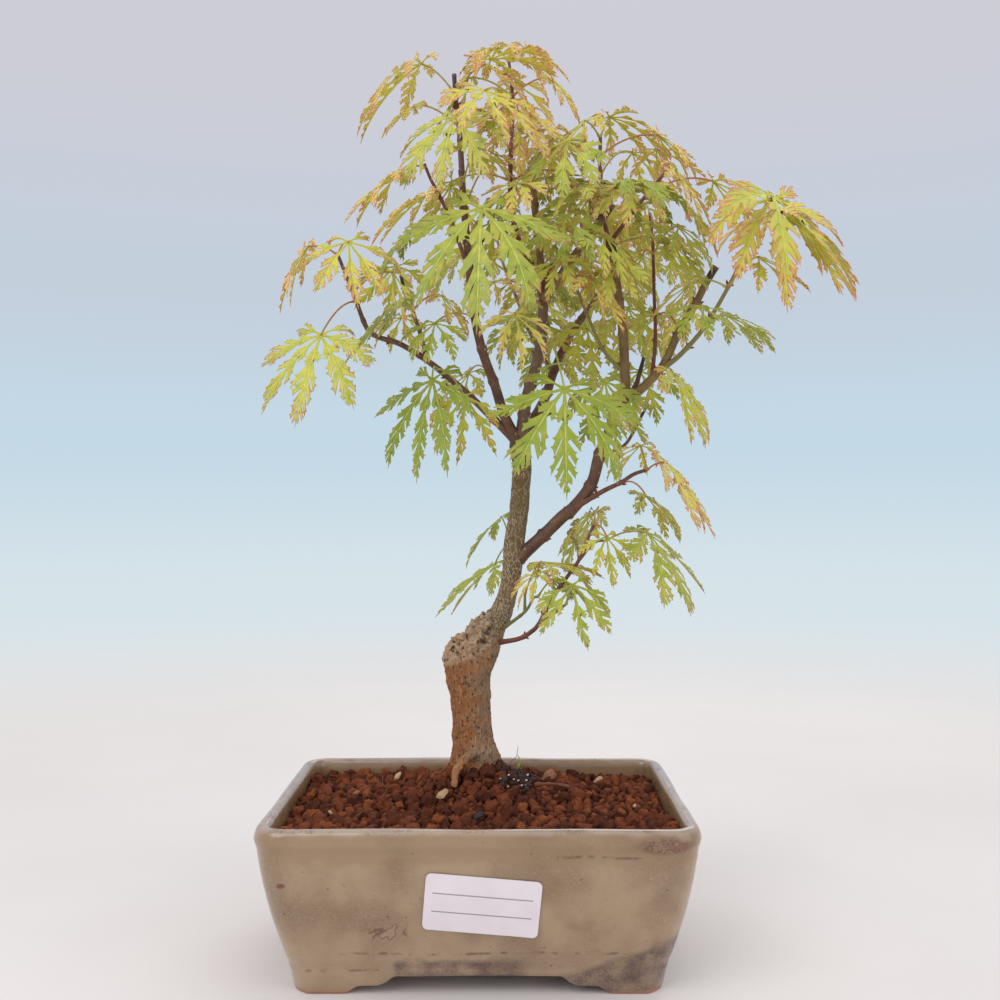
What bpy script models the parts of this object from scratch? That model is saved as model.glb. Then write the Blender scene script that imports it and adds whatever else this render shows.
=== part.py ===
"""Maple bonsai in a glazed pot: the pot, its soil, the tree and its leaves, each a closed solid.

Every size and place below is in millimetres, about the middle of the pot with its feet on Z = 0,
+X to the right, +Y to the back and +Z up. The meshes are made in metres. At the end all of them
are parented to one empty, which moves them so that the world origin is under the middle of the
whole plant's bounding box.
"""

import math

import bmesh
import bpy
from mathutils import Vector
from mathutils.bvhtree import BVHTree

MM = 0.001
GAP = 0.3  # between two pieces that touch
CUT_PAST = 2.0  # how far a cutter, or a piece that is joined on, runs past the face it meets

# Pot: outside size at the rim, and how far each side tapers in down to the base.
POT_WIDTH = 195.0
POT_DEPTH = 134.0
POT_HEIGHT = 76.0
POT_TAPER = 16.0
RIM_CORNER_RADIUS = 14.0
BASE_CORNER_RADIUS = 12.0
WALL = 6.5
LIP_RADIUS = 3.0
FLOOR = 7.0

# Feet: one L-shaped pad under each corner, with a raised step at the end of each arm.
FOOT_HEIGHT = 8.0
FOOT_INSET = 1.5
FOOT_WIDTH = 13.0
FOOT_LONG_ARM = 28.0
FOOT_SHORT_ARM = 22.0
FOOT_STEP_LENGTH = 18.0
FOOT_STEP_LIFT = 3.0
FOOT_STEP_INSET = 0.4

# Drain holes, with a mesh square over each, held down by a bent wire.
DRAIN_RADIUS = 12.0
SCREEN_BAR = 2.0
SCREEN_THICKNESS = 0.8
WIRE_RADIUS = 0.5
WIRE_TAIL = 6.0

# Soil: its level at the wall, and the mound round the trunk.
SOIL_BELOW_RIM = 7.0
MOUND_HEIGHT = 9.0
MOUND_RADIUS = 23.0
SOCKET_GAP = 0.8
ROOT_GROOVE_GAP = 0.5

# Label on the front of the pot.
LABEL_WIDTH = 50.0
LABEL_HEIGHT = 26.0
LABEL_THICKNESS = 0.3
LABEL_CORNER = 2.5
LABEL_CENTRE_HEIGHT = 43.0
LABEL_OFF_CENTRE = 2.0
LABEL_TILT = 5.0

# Tree. Its points are measured from the rim's level, and belong to a tree of DRAWN_HEIGHT.
DRAWN_HEIGHT = 355.0
TREE_HEIGHT = 355.0
TRUNK_X = -3.0
TRUNK_Y = 22.0
TRUNK_BASE_RADIUS = 14.0
ROOT_DEPTH = 18.0

# Leaves.
LEAF_SCALE = 1.0
BLADE_THICKNESS = 1.0
STALK_RADIUS = 0.6
STALK_GAP = 0.5

# Points (x, y, z) and radii of the old stump and of the stem that has grown from it.
STUMP = [
    (-3, 22, 10, 12.5),
    (-5, 22, 21, 10.7),
    (-5, 22, 34, 9.8),
    (-6, 22, 49, 11.0),
    (-6, 22, 61, 12.3),
    (-7, 22, 68, 11.0),
]
STEM = [
    (-3, 22, 56, 8.0),
    (0, 22, 67, 8.6),
    (5, 22, 75, 6.8),
    (10, 22, 83, 5.6),
    (14, 21, 95, 4.7),
    (16, 20, 108, 5.0),
    (17, 20, 121, 5.3),
    (19, 20, 133, 5.0),
    (20, 20, 145, 4.8),
    (21, 20, 158, 4.6),
    (20, 20, 168, 5.3),
    (20, 20, 173, 4.9),
]

# Limbs and twigs: name, radius at the start and the end, sides, and the points of its middle line.
# Each starts inside the piece of wood that it grows from.
TWIGS = [
    ("surface_root", 2.6, 1.6, 6, [(-3, 15, 15), (-6, 8, 9), (-10, 3, 4), (-15, -1, -5)]),
    ("knob_left", 2.6, 1.6, 6, [(-5, 20, 64), (-4, 16, 73), (-5, 15, 77)]),
    ("knob_right", 2.4, 1.8, 6, [(1, 20, 68), (1, 14, 76), (1, 12, 79)]),
    ("left_limb", 2.6, 1.0, 8, [
        (19, 20, 170), (8, 17, 181), (-8, 13, 196), (-24, 8, 209), (-39, 2, 218),
        (-50, -3, 221), (-55, -6, 225), (-61, -10, 241), (-68, -13, 259)]),
    ("left_spur", 1.4, 1.1, 6, [
        (-27, 7, 211), (-29, 9, 221), (-34, 11, 236), (-38, 12, 246), (-40, 12, 254)]),
    ("left_leader", 3.4, 1.4, 8, [
        (19, 20, 171), (12, 15, 184), (7, 9, 199), (1, 3, 215), (-3, -2, 233), (-5, -4, 253),
        (-8, -4, 286), (-10, 0, 320), (-12, 2, 338), (-13, 4, 352)]),
    ("left_leader_twig", 1.3, 0.9, 6, [
        (-5, -4, 252), (-13, -12, 273), (-19, -16, 286), (-23, -18, 293), (-26, -20, 300)]),
    ("leader", 4.2, 3.4, 8, [(20, 20, 170), (23, 14, 192), (27, 8, 206), (30, 2, 220), (31, -4, 242)]),
    ("leader_top", 2.6, 2.2, 8, [(31, -4, 239), (29, -2, 264), (27, 0, 283), (26, 2, 302)]),
    ("crown_shoot", 2.1, 0.9, 6, [
        (31, -4, 239), (27, -8, 249), (20, -12, 262), (15, -14, 282), (15, -10, 311),
        (16, -6, 330), (15, -4, 348), (14, -4, 355)]),
    ("leader_stub", 1.6, 1.0, 6, [(31, -4, 240), (35, -2, 257)]),
    ("right_leader", 3.0, 2.7, 8, [
        (31, -4, 239), (42, -12, 253), (49, -18, 262), (56, -24, 271), (61, -30, 278)]),
    ("rear_limb", 3.6, 1.3, 8, [
        (20, 21, 171), (32, 32, 192), (38, 40, 209), (47, 48, 229), (61, 56, 250), (75, 62, 268),
        (83, 66, 277)]),
    ("rear_twig_left", 1.6, 0.9, 6, [
        (38, 40, 208), (28, 54, 228), (20, 64, 250), (12, 70, 272), (8, 72, 288)]),
    ("rear_twig_right", 1.5, 0.9, 6, [(61, 56, 249), (60, 68, 272), (56, 74, 292), (54, 76, 306)]),
    ("back_twig", 1.2, 0.8, 6, [(16, 21, 108), (16, 34, 113), (15, 44, 119)]),
    ("right_limb", 3.7, 3.0, 8, [
        (19, 20, 112), (31, 17, 123), (41, 14, 133), (46, 12, 137), (55, 8, 149), (59, 4, 164),
        (63, 0, 174), (68, -4, 188), (73, -7, 194)]),
    ("right_low", 1.9, 1.1, 6, [
        (45, 12, 136), (51, 8, 140), (61, 4, 146), (69, 0, 150), (75, -3, 154), (81, -5, 156)]),
    ("right_riser", 3.2, 2.6, 8, [
        (71, -6, 191), (70, -8, 199), (69, -10, 220), (66, -12, 242), (64, -12, 259), (62, -12, 267)]),
    ("red_shoot", 1.6, 1.1, 6, [(62, -12, 262), (59, -12, 282), (58, -10, 299), (58, -10, 316)]),
    ("red_twig", 1.4, 1.0, 6, [(62, -12, 264), (75, -16, 281), (86, -19, 294), (89, -20, 298)]),
    ("green_shoot", 1.3, 0.9, 6, [(70, -8, 202), (59, -14, 213), (51, -18, 229), (44, -22, 245)]),
    ("right_arm", 2.9, 2.2, 8, [
        (72, -6, 191), (78, -8, 195), (88, -10, 206), (95, -12, 221), (103, -14, 235), (108, -16, 245),
        (112, -18, 252)]),
    ("thin_riser", 1.2, 0.9, 6, [(83, -9, 201), (85, -6, 220), (85, -2, 244), (85, 2, 268), (84, 5, 283)]),
    ("far_shoot", 1.6, 1.0, 6, [
        (87, -10, 204), (95, -14, 210), (104, -20, 220), (110, -27, 230), (116, -33, 242), (121, -38, 254)]),
    ("right_stub", 1.6, 1.1, 6, [(73, -7, 193), (76, -5, 198), (80, -2, 211)]),
    ("dead_twig", 1.2, 0.9, 6, [(57, 5, 158), (65, 8, 165), (73, 10, 170), (81, 12, 184), (84, 12, 190)]),
    ("low_shoot", 1.9, 1.2, 6, [
        (9, 20, 69), (19, 11, 72), (25, 6, 76), (29, 1, 81), (36, -4, 95), (42, -7, 104), (48, -9, 113),
        (53, -12, 126), (55, -13, 130)]),
    ("low_green", 1.0, 0.8, 6, [(29, 1, 81), (36, -9, 87), (41, -17, 92)]),
    ("low_right", 1.0, 0.8, 6, [(48, -9, 113), (55, -12, 121), (60, -14, 122)]),
    ("low_left", 1.0, 0.8, 6, [(48, -9, 113), (47, -3, 120), (45, 3, 123)]),
    ("thin_shoot", 1.3, 0.8, 6, [(11, 20, 76), (22, 6, 86), (26, 2, 93), (28, 0, 94)]),
    ("thin_up", 0.9, 0.8, 6, [(22, 6, 86), (22, 4, 95)]),
]

# Leaves: the twig, how far along it the stalk starts, the stalk's compass heading, rise and length,
# the blade's own heading and dip below level, its longest lobe, and its age (0 grown, 1 half, 2 new).
# Headings are degrees from +X towards +Y.
LEAVES = [
    ("left_leader", 0.95, 195, 35, 19, 190, 30, 52, 2),
    ("left_leader", 0.95, -35, 20, 21, -20, 35, 36, 2),
    ("crown_shoot", 1.00, 200, 40, 9, 200, 25, 24, 2),
    ("crown_shoot", 1.00, -30, 25, 9, -10, 25, 28, 2),
    ("crown_shoot", 0.92, -110, -25, 27, -25, 10, 36, 1),
    ("crown_shoot", 0.92, 85, 20, 28, 60, 30, 34, 1),
    ("crown_shoot", 0.79, -100, -15, 40, -60, 55, 40, 1),
    ("crown_shoot", 0.63, -135, 10, 35, -115, 55, 48, 0),
    ("crown_shoot", 0.63, 25, 30, 22, 10, 35, 34, 2),
    ("crown_shoot", 0.38, -110, -15, 40, -100, 62, 60, 0),
    ("left_leader_twig", 0.97, -140, -20, 16, 195, 35, 36, 1),
    ("left_leader_twig", 0.75, -90, -20, 23, 200, 30, 36, 2),
    ("left_leader_twig", 0.59, 135, -10, 19, 200, 40, 36, 0),
    ("leader", 0.92, -110, -15, 39, -70, 55, 30, 2),
    ("leader", 0.76, -80, -35, 54, -85, 62, 54, 0),
    ("leader", 0.52, -50, -5, 45, -55, 65, 40, 0),
    ("right_riser", 0.96, -25, -15, 28, -50, 62, 30, 0),
    ("far_shoot", 1.00, -60, 50, 27, -48, 45, 66, 1),
    ("far_shoot", 0.32, 15, 35, 18, 5, 20, 32, 0),
    ("far_shoot", 0.53, 100, 15, 32, 130, 35, 30, 1),
    ("right_arm", 0.27, -80, -15, 19, -30, 55, 40, 1),
    ("right_arm", 0.27, 100, 5, 28, 100, 45, 36, 0),
    ("right_low", 1.00, -55, 10, 14, -20, 50, 44, 1),
    ("right_low", 0.70, 55, -15, 24, 10, 35, 34, 0),
    ("low_right", 1.00, -5, 10, 20, -30, 45, 48, 0),
    ("low_green", 1.00, -70, 50, 12, -80, 60, 32, 0),
    ("low_shoot", 1.00, -75, -20, 15, -70, 65, 24, 0),
    ("low_shoot", 1.00, 85, 15, 20, 150, 40, 30, 0),
    ("low_left", 1.00, 105, 40, 25, 190, 40, 32, 0),
    ("thin_up", 1.00, -50, 30, 20, 10, 25, 34, 0),
    ("back_twig", 1.00, 105, 35, 23, 180, 40, 34, 0),
    ("back_twig", 0.95, 120, -35, 18, 190, 30, 44, 0),
    ("left_limb", 0.83, -115, -40, 30, -105, 60, 50, 0),
    ("left_limb", 1.00, 205, 15, 14, 190, 50, 34, 2),
    ("left_limb", 1.00, -65, 5, 17, -80, 65, 34, 1),
    ("left_limb", 0.86, 40, 60, 25, 30, 40, 32, 1),
    ("left_limb", 0.67, -55, 25, 28, 200, 40, 40, 0),
    ("left_spur", 1.00, 110, 25, 21, 120, 40, 34, 1),
    ("left_limb", 0.43, -90, -25, 20, -130, 70, 54, 0),
    ("left_limb", 0.43, -70, -25, 29, -90, 72, 34, 1),
    ("left_leader", 0.21, 110, 5, 30, 150, 45, 34, 0),
    ("leader_top", 0.95, -85, -30, 23, 10, 10, 34, 0),
    ("red_shoot", 1.00, -155, 35, 12, 190, 30, 32, 2),
    ("red_shoot", 1.00, -20, 55, 10, 10, 22, 38, 2),
    ("red_shoot", 0.79, -115, 0, 31, -100, 60, 34, 0),
    ("red_twig", 1.00, -85, -20, 15, -30, 55, 34, 2),
    ("right_leader", 1.00, -80, 10, 12, -10, 15, 42, 0),
    ("thin_riser", 1.00, 90, 25, 26, 110, 40, 32, 1),
    ("rear_limb", 1.00, 40, 20, 20, 40, 35, 44, 1),
    ("rear_twig_left", 1.00, 120, 25, 18, 130, 35, 42, 0),
    ("rear_twig_right", 1.00, 70, 35, 16, 80, 30, 44, 1),
    ("rear_twig_left", 0.60, 60, 15, 22, 80, 40, 38, 0),
]

# Lobes of a leaf: angle from the middle lobe, and length and width as shares of the middle lobe's.
HALF_LOBES = [(38, 0.95, 1.0), (78, 0.74, 0.9), (128, 0.34, 0.6)]
LOBES = [(-angle, *shares) for angle, *shares in reversed(HALF_LOBES)] + [(0, 1.0, 1.0)] + HALF_LOBES
LOBE_WIDTH_SHARE = 0.13
HUB_SHARE = 0.05
DROOP = 0.55
LOBE_THINNING = 0.4
STALK_ARCH = 0.12

COLOURS = {
    "glaze": ((0.31, 0.22, 0.14), 0.22),
    "soil": ((0.17, 0.05, 0.025), 0.95),
    "bark": ((0.16, 0.10, 0.055), 0.85),
    "leaf_grown": ((0.20, 0.37, 0.045), 0.5),
    "leaf_half": ((0.42, 0.50, 0.06), 0.5),
    "leaf_new": ((0.62, 0.50, 0.12), 0.5),
    "label": ((0.85, 0.80, 0.80), 0.4),
    "mesh": ((0.02, 0.02, 0.02), 0.5),
    "wire": ((0.45, 0.30, 0.20), 0.35),
}
LEAF_MATERIALS = ("leaf_grown", "leaf_half", "leaf_new")


def material(name):
    made = bpy.data.materials.get(name)
    if made:
        return made
    colour, roughness = COLOURS[name]
    made = bpy.data.materials.new(name)
    made.use_nodes = True
    shader = made.node_tree.nodes["Principled BSDF"]
    shader.inputs["Base Color"].default_value = (*colour, 1.0)
    shader.inputs["Roughness"].default_value = roughness
    shader.inputs["Metallic"].default_value = 1.0 if name == "wire" else 0.0
    made.diffuse_color = (*colour, 1.0)
    return made


def add_object(name, bm, material_name, collection=None):
    """Turns a bmesh in millimetres into an object in metres."""
    bmesh.ops.recalc_face_normals(bm, faces=bm.faces[:])
    if bm.calc_volume(signed=True) < 0:
        bmesh.ops.reverse_faces(bm, faces=bm.faces[:])
    bmesh.ops.scale(bm, vec=(MM, MM, MM), verts=bm.verts[:])
    mesh = bpy.data.meshes.new(name)
    bm.to_mesh(mesh)
    bm.free()
    mesh.materials.append(material(material_name))
    made = bpy.data.objects.new(name, mesh)
    (collection or bpy.context.scene.collection).objects.link(made)
    return made


def as_helper(made):
    made.hide_render = True
    made.display_type = "WIRE"
    return made


def add_boolean(target, operation, helpers):
    """Joins or cuts target with every object of a collection of hidden helpers."""
    modifier = target.modifiers.new(operation.lower(), "BOOLEAN")
    modifier.operation = operation
    modifier.solver = "EXACT"
    modifier.operand_type = "COLLECTION"
    modifier.collection = helpers


def helper_collection(name):
    made = bpy.data.collections.new(name)
    bpy.context.scene.collection.children.link(made)
    return made


def bridge(bm, rings):
    """Quads between each ring of vertices and the next."""
    for low, high in zip(rings, rings[1:]):
        for i in range(len(low)):
            j = (i + 1) % len(low)
            bm.faces.new((low[i], low[j], high[j], high[i]))


def rounded_outline(half_x, half_y, radius, z, side_cuts=(0, 0)):
    """Points of a rounded rectangle at height z, with extra points along its long and short sides."""
    corner_cuts = 4
    corners = []
    for cx, cy, start in ((1, 1, 0), (-1, 1, 90), (-1, -1, 180), (1, -1, 270)):
        centre_x, centre_y = cx * (half_x - radius), cy * (half_y - radius)
        angles = [math.radians(start + 90 * k / corner_cuts) for k in range(corner_cuts + 1)]
        corners.append([(centre_x + radius * math.cos(a), centre_y + radius * math.sin(a)) for a in angles])
    points = []
    for index, corner in enumerate(corners):
        points += corner
        end, start = corner[-1], corners[(index + 1) % 4][0]
        cuts = side_cuts[index % 2]
        for k in range(1, cuts + 1):
            share = k / (cuts + 1)
            points.append((end[0] + share * (start[0] - end[0]), end[1] + share * (start[1] - end[1])))
    return [Vector((x, y, z)) for x, y in points]


def tube(bm, points, radii, sides):
    """A closed tube along points, with a radius at each."""
    points = [Vector(p) for p in points]
    rings = []
    across = None
    for i, point in enumerate(points):
        along = (points[min(i + 1, len(points) - 1)] - points[max(i - 1, 0)]).normalized()
        if across is None:
            across = along.orthogonal()
        across = (across - along * across.dot(along)).normalized()
        other = along.cross(across)
        ring = []
        for k in range(sides):
            angle = 2 * math.pi * k / sides
            offset = across * math.cos(angle) + other * math.sin(angle)
            ring.append(bm.verts.new(point + offset * radii[i]))
        rings.append(ring)
    bridge(bm, rings)
    bm.faces.new(rings[0])
    bm.faces.new(rings[-1])


# --- Pot -------------------------------------------------------------------------------------

def wall_inset(z):
    """How far the outside has tapered in at height z: upright under the rim, rounding in lower down."""
    share = min(1.0, max(0.0, (POT_HEIGHT - z) / (POT_HEIGHT - FOOT_HEIGHT)))
    return POT_TAPER * share**1.6


def corner_radius(z):
    share = (POT_HEIGHT - z) / (POT_HEIGHT - FOOT_HEIGHT)
    return RIM_CORNER_RADIUS + (BASE_CORNER_RADIUS - RIM_CORNER_RADIUS) * share


def pot_outline(z, inward, side_cuts=(0, 0)):
    """The pot's outline at height z, moved inward from its rim size."""
    radius = max(3.0, corner_radius(z) - max(0.0, inward - wall_inset(z)))
    return rounded_outline(POT_WIDTH / 2 - inward, POT_DEPTH / 2 - inward, radius, z, side_cuts)


FLOOR_TOP = FOOT_HEIGHT + FLOOR
LIP_START = POT_HEIGHT - LIP_RADIUS
OUTER_LEVELS = [FOOT_HEIGHT + (LIP_START - FOOT_HEIGHT) * k / 6 for k in range(7)]
INNER_LEVELS = [FLOOR_TOP + (LIP_START - FLOOR_TOP) * k / 4 for k in range(5)]


def inner_inset(z):
    """The inside wall's inset at height z, straight between the levels where it has edges."""
    for low, high in zip(INNER_LEVELS, INNER_LEVELS[1:]):
        if z <= high:
            share = (z - low) / (high - low)
            return WALL + wall_inset(low) + share * (wall_inset(high) - wall_inset(low))
    return WALL + wall_inset(z)


def make_pot():
    bm = bmesh.new()
    outlines = [pot_outline(z, wall_inset(z)) for z in OUTER_LEVELS]
    bevel = LIP_RADIUS * (1 - math.sqrt(0.5))
    outlines.append(pot_outline(POT_HEIGHT - bevel, wall_inset(LIP_START) + bevel))
    outlines.append(pot_outline(POT_HEIGHT, wall_inset(LIP_START) + LIP_RADIUS))
    outlines.append(pot_outline(POT_HEIGHT, inner_inset(LIP_START) - LIP_RADIUS))
    outlines.append(pot_outline(POT_HEIGHT - bevel, inner_inset(LIP_START) - bevel))
    outlines += [pot_outline(z, inner_inset(z)) for z in reversed(INNER_LEVELS)]
    rings = [[bm.verts.new(p) for p in outline] for outline in outlines]
    bridge(bm, rings)
    bm.faces.new(rings[0])
    bm.faces.new(rings[-1])
    pot = add_object("pot", bm, "glaze")
    feet = helper_collection("feet")
    for side_x in (-1, 1):
        for side_y in (-1, 1):
            make_foot(feet, side_x, side_y)
    add_boolean(pot, "UNION", feet)
    holes = helper_collection("drain_hole_cutters")
    for x in drain_places():
        cutter = bmesh.new()
        tube(cutter, [(x, 0, FOOT_HEIGHT - CUT_PAST), (x, 0, FLOOR_TOP + CUT_PAST)], [DRAIN_RADIUS] * 2, 16)
        as_helper(add_object("drain_hole_cutter", cutter, "glaze", holes))
    add_boolean(pot, "DIFFERENCE", holes)
    return pot


def make_foot(feet, side_x, side_y):
    """One corner's foot: an L on the ground, and a longer L that starts higher up."""
    corner_x = POT_WIDTH / 2 - POT_TAPER - FOOT_INSET
    corner_y = POT_DEPTH / 2 - POT_TAPER - FOOT_INSET
    for lift, extra in ((0.0, 0.0), (FOOT_STEP_LIFT, FOOT_STEP_LENGTH)):
        long_arm, short_arm, cut = FOOT_LONG_ARM + extra, FOOT_SHORT_ARM + extra, FOOT_WIDTH / 3
        inset = FOOT_STEP_INSET if extra else 0.0
        plan = [
            (corner_x - inset - cut, corner_y - inset),
            (corner_x - long_arm, corner_y - inset),
            (corner_x - long_arm, corner_y - FOOT_WIDTH + inset),
            (corner_x - FOOT_WIDTH + inset, corner_y - FOOT_WIDTH + inset),
            (corner_x - FOOT_WIDTH + inset, corner_y - short_arm),
            (corner_x - inset, corner_y - short_arm),
            (corner_x - inset, corner_y - inset - cut),
        ]
        bm = bmesh.new()
        rings = [
            [bm.verts.new((side_x * x, side_y * y, z)) for x, y in plan]
            for z in (lift, FOOT_HEIGHT + CUT_PAST)
        ]
        bridge(bm, rings)
        bm.faces.new(rings[0])
        bm.faces.new(rings[1])
        as_helper(add_object("foot", bm, "glaze", feet))


def drain_places():
    """X of the two drain holes, halfway out along the floor."""
    half_floor = POT_WIDTH / 2 - inner_inset(FLOOR_TOP)
    return (-half_floor / 2, half_floor / 2)


# --- Screens and their wires -----------------------------------------------------------------

SCREEN_PITCH = 0.8 * DRAIN_RADIUS
SCREEN_SIDE = 3 * SCREEN_PITCH + SCREEN_BAR
SCREEN_TOP = FLOOR_TOP + GAP + SCREEN_THICKNESS
WIRE_TOP = SCREEN_TOP + GAP + WIRE_RADIUS


def make_screen(name, x):
    """A square of plastic mesh: four bars each way, with nine openings between them."""
    edges = []
    for k in range(4):
        start = k * SCREEN_PITCH - SCREEN_SIDE / 2
        edges += [start, start + SCREEN_BAR]
    bm = bmesh.new()
    grid = [[bm.verts.new((x + u, v, FLOOR_TOP + GAP)) for u in edges] for v in edges]
    for i in range(len(edges) - 1):
        for j in range(len(edges) - 1):
            if i % 2 == 0 or j % 2 == 0:
                bm.faces.new((grid[i][j], grid[i][j + 1], grid[i + 1][j + 1], grid[i + 1][j]))
    flat = bm.faces[:]
    raised = bmesh.ops.extrude_face_region(bm, geom=flat)["geom"]
    lifted = [v for v in raised if isinstance(v, bmesh.types.BMVert)]
    bmesh.ops.translate(bm, vec=(0, 0, SCREEN_THICKNESS), verts=lifted)
    return add_object(name, bm, "mesh")


def make_wire(name, x):
    """A staple of wire: over the screen, down through the drain hole, and bent out under the floor."""
    leg = SCREEN_PITCH
    under = FOOT_HEIGHT - GAP - WIRE_RADIUS
    half = [
        (leg + WIRE_TAIL, under),
        (leg + 2 * WIRE_RADIUS, under),
        (leg, under + 2 * WIRE_RADIUS),
        (leg, WIRE_TOP - 2 * WIRE_RADIUS),
        (leg - 2 * WIRE_RADIUS, WIRE_TOP),
    ]
    points = [(x - u, 0, z) for u, z in half] + [(x + u, 0, z) for u, z in reversed(half)]
    bm = bmesh.new()
    tube(bm, points, [WIRE_RADIUS] * len(points), 6)
    return add_object(name, bm, "wire")


# --- Tree ------------------------------------------------------------------------------------

TREE_SCALE = TREE_HEIGHT / DRAWN_HEIGHT


def tree_point(x, y, z):
    """A point of the drawn tree, scaled about the foot of the trunk at the rim's level."""
    foot = Vector((TRUNK_X, TRUNK_Y, 0))
    placed = foot + (Vector((x, y, z)) - foot) * TREE_SCALE
    return placed + Vector((0, 0, POT_HEIGHT))


def twig_radii(start, end, points):
    lengths = [0.0]
    for a, b in zip(points, points[1:]):
        lengths.append(lengths[-1] + (b - a).length)
    return [start + (end - start) * length / lengths[-1] for length in lengths]


def wood_tubes():
    """Every length of wood as (name, points, radii, sides)."""
    below = [(TRUNK_X, TRUNK_Y, -ROOT_DEPTH / TREE_SCALE), (TRUNK_X, TRUNK_Y, 3)]
    stump = [tree_point(*p) for p in below] + [tree_point(x, y, z) for x, y, z, _ in STUMP]
    stump_radii = [TRUNK_BASE_RADIUS] * 2 + [r * TREE_SCALE for *_, r in STUMP]
    stem = [tree_point(x, y, z) for x, y, z, _ in STEM]
    tubes = [("stump", stump, stump_radii, 12), ("stem", stem, [r * TREE_SCALE for *_, r in STEM], 12)]
    for name, start, end, sides, drawn in TWIGS:
        points = [tree_point(*p) for p in drawn]
        radii = twig_radii(start * TREE_SCALE, end * TREE_SCALE, points)
        tubes.append((name, points, radii, sides))
    return tubes


def make_tree(tubes):
    bm = bmesh.new()
    _, points, radii, sides = tubes[0]
    tube(bm, points, radii, sides)
    tree = add_object("tree", bm, "bark")
    grown = helper_collection("tree_lengths")
    for name, points, radii, sides in tubes[1:]:
        bm = bmesh.new()
        tube(bm, points, radii, sides)
        as_helper(add_object(name, bm, "bark", grown))
    add_boolean(tree, "UNION", grown)
    return tree


# --- Soil ------------------------------------------------------------------------------------

SOIL_EDGE = POT_HEIGHT - SOIL_BELOW_RIM


def soil_height(point, share):
    """Soil level at a point whose way out from the trunk to the wall is share."""
    away = math.hypot(point.x - TRUNK_X, point.y - TRUNK_Y) - TRUNK_BASE_RADIUS
    mound = MOUND_HEIGHT * math.exp(-max(0.0, away) / MOUND_RADIUS)
    return SOIL_EDGE + mound * (1 - share**2)


def make_soil(tubes):
    cuts = (6, 4)
    levels = [FLOOR_TOP + GAP] + [z for z in INNER_LEVELS[1:] if z < SOIL_EDGE - 1] + [SOIL_EDGE]
    outside = [pot_outline(z, inner_inset(z) + GAP, cuts) for z in levels]
    edge = outside[-1]
    middle = Vector((TRUNK_X, TRUNK_Y, 0))
    socket = []
    for point in edge:
        way = Vector((point.x, point.y, 0)) - middle
        socket.append(middle + way.normalized() * (TRUNK_BASE_RADIUS + SOCKET_GAP))
    top = []
    for share in (0.75, 0.5, 0.25, 0.1, 0.0):
        ring = []
        for inner, outer in zip(socket, edge):
            point = inner + (Vector((outer.x, outer.y, 0)) - inner) * share
            ring.append(Vector((point.x, point.y, soil_height(point, share))))
        top.append(ring)
    bottom = POT_HEIGHT - ROOT_DEPTH - GAP
    hole = [[Vector((p.x, p.y, bottom)) for p in socket]]
    bm = bmesh.new()
    rings = [[bm.verts.new(p) for p in ring] for ring in outside + top + hole]
    bridge(bm, rings)
    bm.faces.new(rings[0])
    bm.faces.new(rings[-1])
    soil = add_object("soil", bm, "soil")
    cutters = helper_collection("soil_cutters")
    for x in drain_places():
        half = SCREEN_SIDE / 2 + GAP
        recess = bmesh.new()
        bmesh.ops.create_cube(recess, size=1.0)
        height = WIRE_TOP + WIRE_RADIUS + GAP - FLOOR_TOP + CUT_PAST
        bmesh.ops.scale(recess, vec=(2 * half, 2 * half, height), verts=recess.verts[:])
        bmesh.ops.translate(recess, vec=(x, 0, FLOOR_TOP - CUT_PAST + height / 2), verts=recess.verts[:])
        as_helper(add_object("screen_recess", recess, "soil", cutters))
    for name, points, radii, sides in tubes:
        if name == "surface_root":
            groove = bmesh.new()
            tip = points[-1] + (points[-1] - points[-2]).normalized() * GAP
            tube(groove, points[:-1] + [tip], [r + ROOT_GROOVE_GAP for r in radii], sides)
            as_helper(add_object("root_groove", groove, "soil", cutters))
    add_boolean(soil, "DIFFERENCE", cutters)
    return soil


# --- Label -----------------------------------------------------------------------------------

def make_label():
    """A flat paper label against the sloping front of the pot."""
    step = 1.0
    low = wall_inset(LABEL_CENTRE_HEIGHT - step)
    high = wall_inset(LABEL_CENTRE_HEIGHT + step)
    slope = math.atan2(low - high, 2 * step)
    bm = bmesh.new()
    outline = rounded_outline(LABEL_WIDTH / 2, LABEL_HEIGHT / 2, LABEL_CORNER, 0)
    rings = [[bm.verts.new((p.x, p.y, z)) for p in outline] for z in (0, LABEL_THICKNESS)]
    bridge(bm, rings)
    bm.faces.new(rings[0])
    bm.faces.new(rings[1])
    label = add_object("label", bm, "label")
    front = -(POT_DEPTH / 2 - wall_inset(LABEL_CENTRE_HEIGHT))
    out = Vector((0, -math.cos(slope), -math.sin(slope))) * GAP
    label.location = (Vector((LABEL_OFF_CENTRE, front, LABEL_CENTRE_HEIGHT)) + out) * MM
    label.rotation_mode = "ZXY"
    label.rotation_euler = (math.radians(90) + slope, 0, math.radians(-LABEL_TILT))
    return label


# --- Leaves ----------------------------------------------------------------------------------

def direction(heading, rise):
    heading, rise = math.radians(heading), math.radians(rise)
    return Vector((math.cos(rise) * math.cos(heading), math.cos(rise) * math.sin(heading), math.sin(rise)))


def place_on(points, radii, share):
    """The point, radius, direction and length still to go at a share of a twig's length."""
    lengths = [(b - a).length for a, b in zip(points, points[1:])]
    left = share * sum(lengths)
    for i, length in enumerate(lengths):
        if left <= length or i == len(lengths) - 1:
            part = min(1.0, left / length)
            point = points[i].lerp(points[i + 1], part)
            radius = radii[i] + (radii[i + 1] - radii[i]) * part
            return point, radius, (points[i + 1] - points[i]).normalized(), (1 - share) * sum(lengths)
        left -= length


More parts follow.
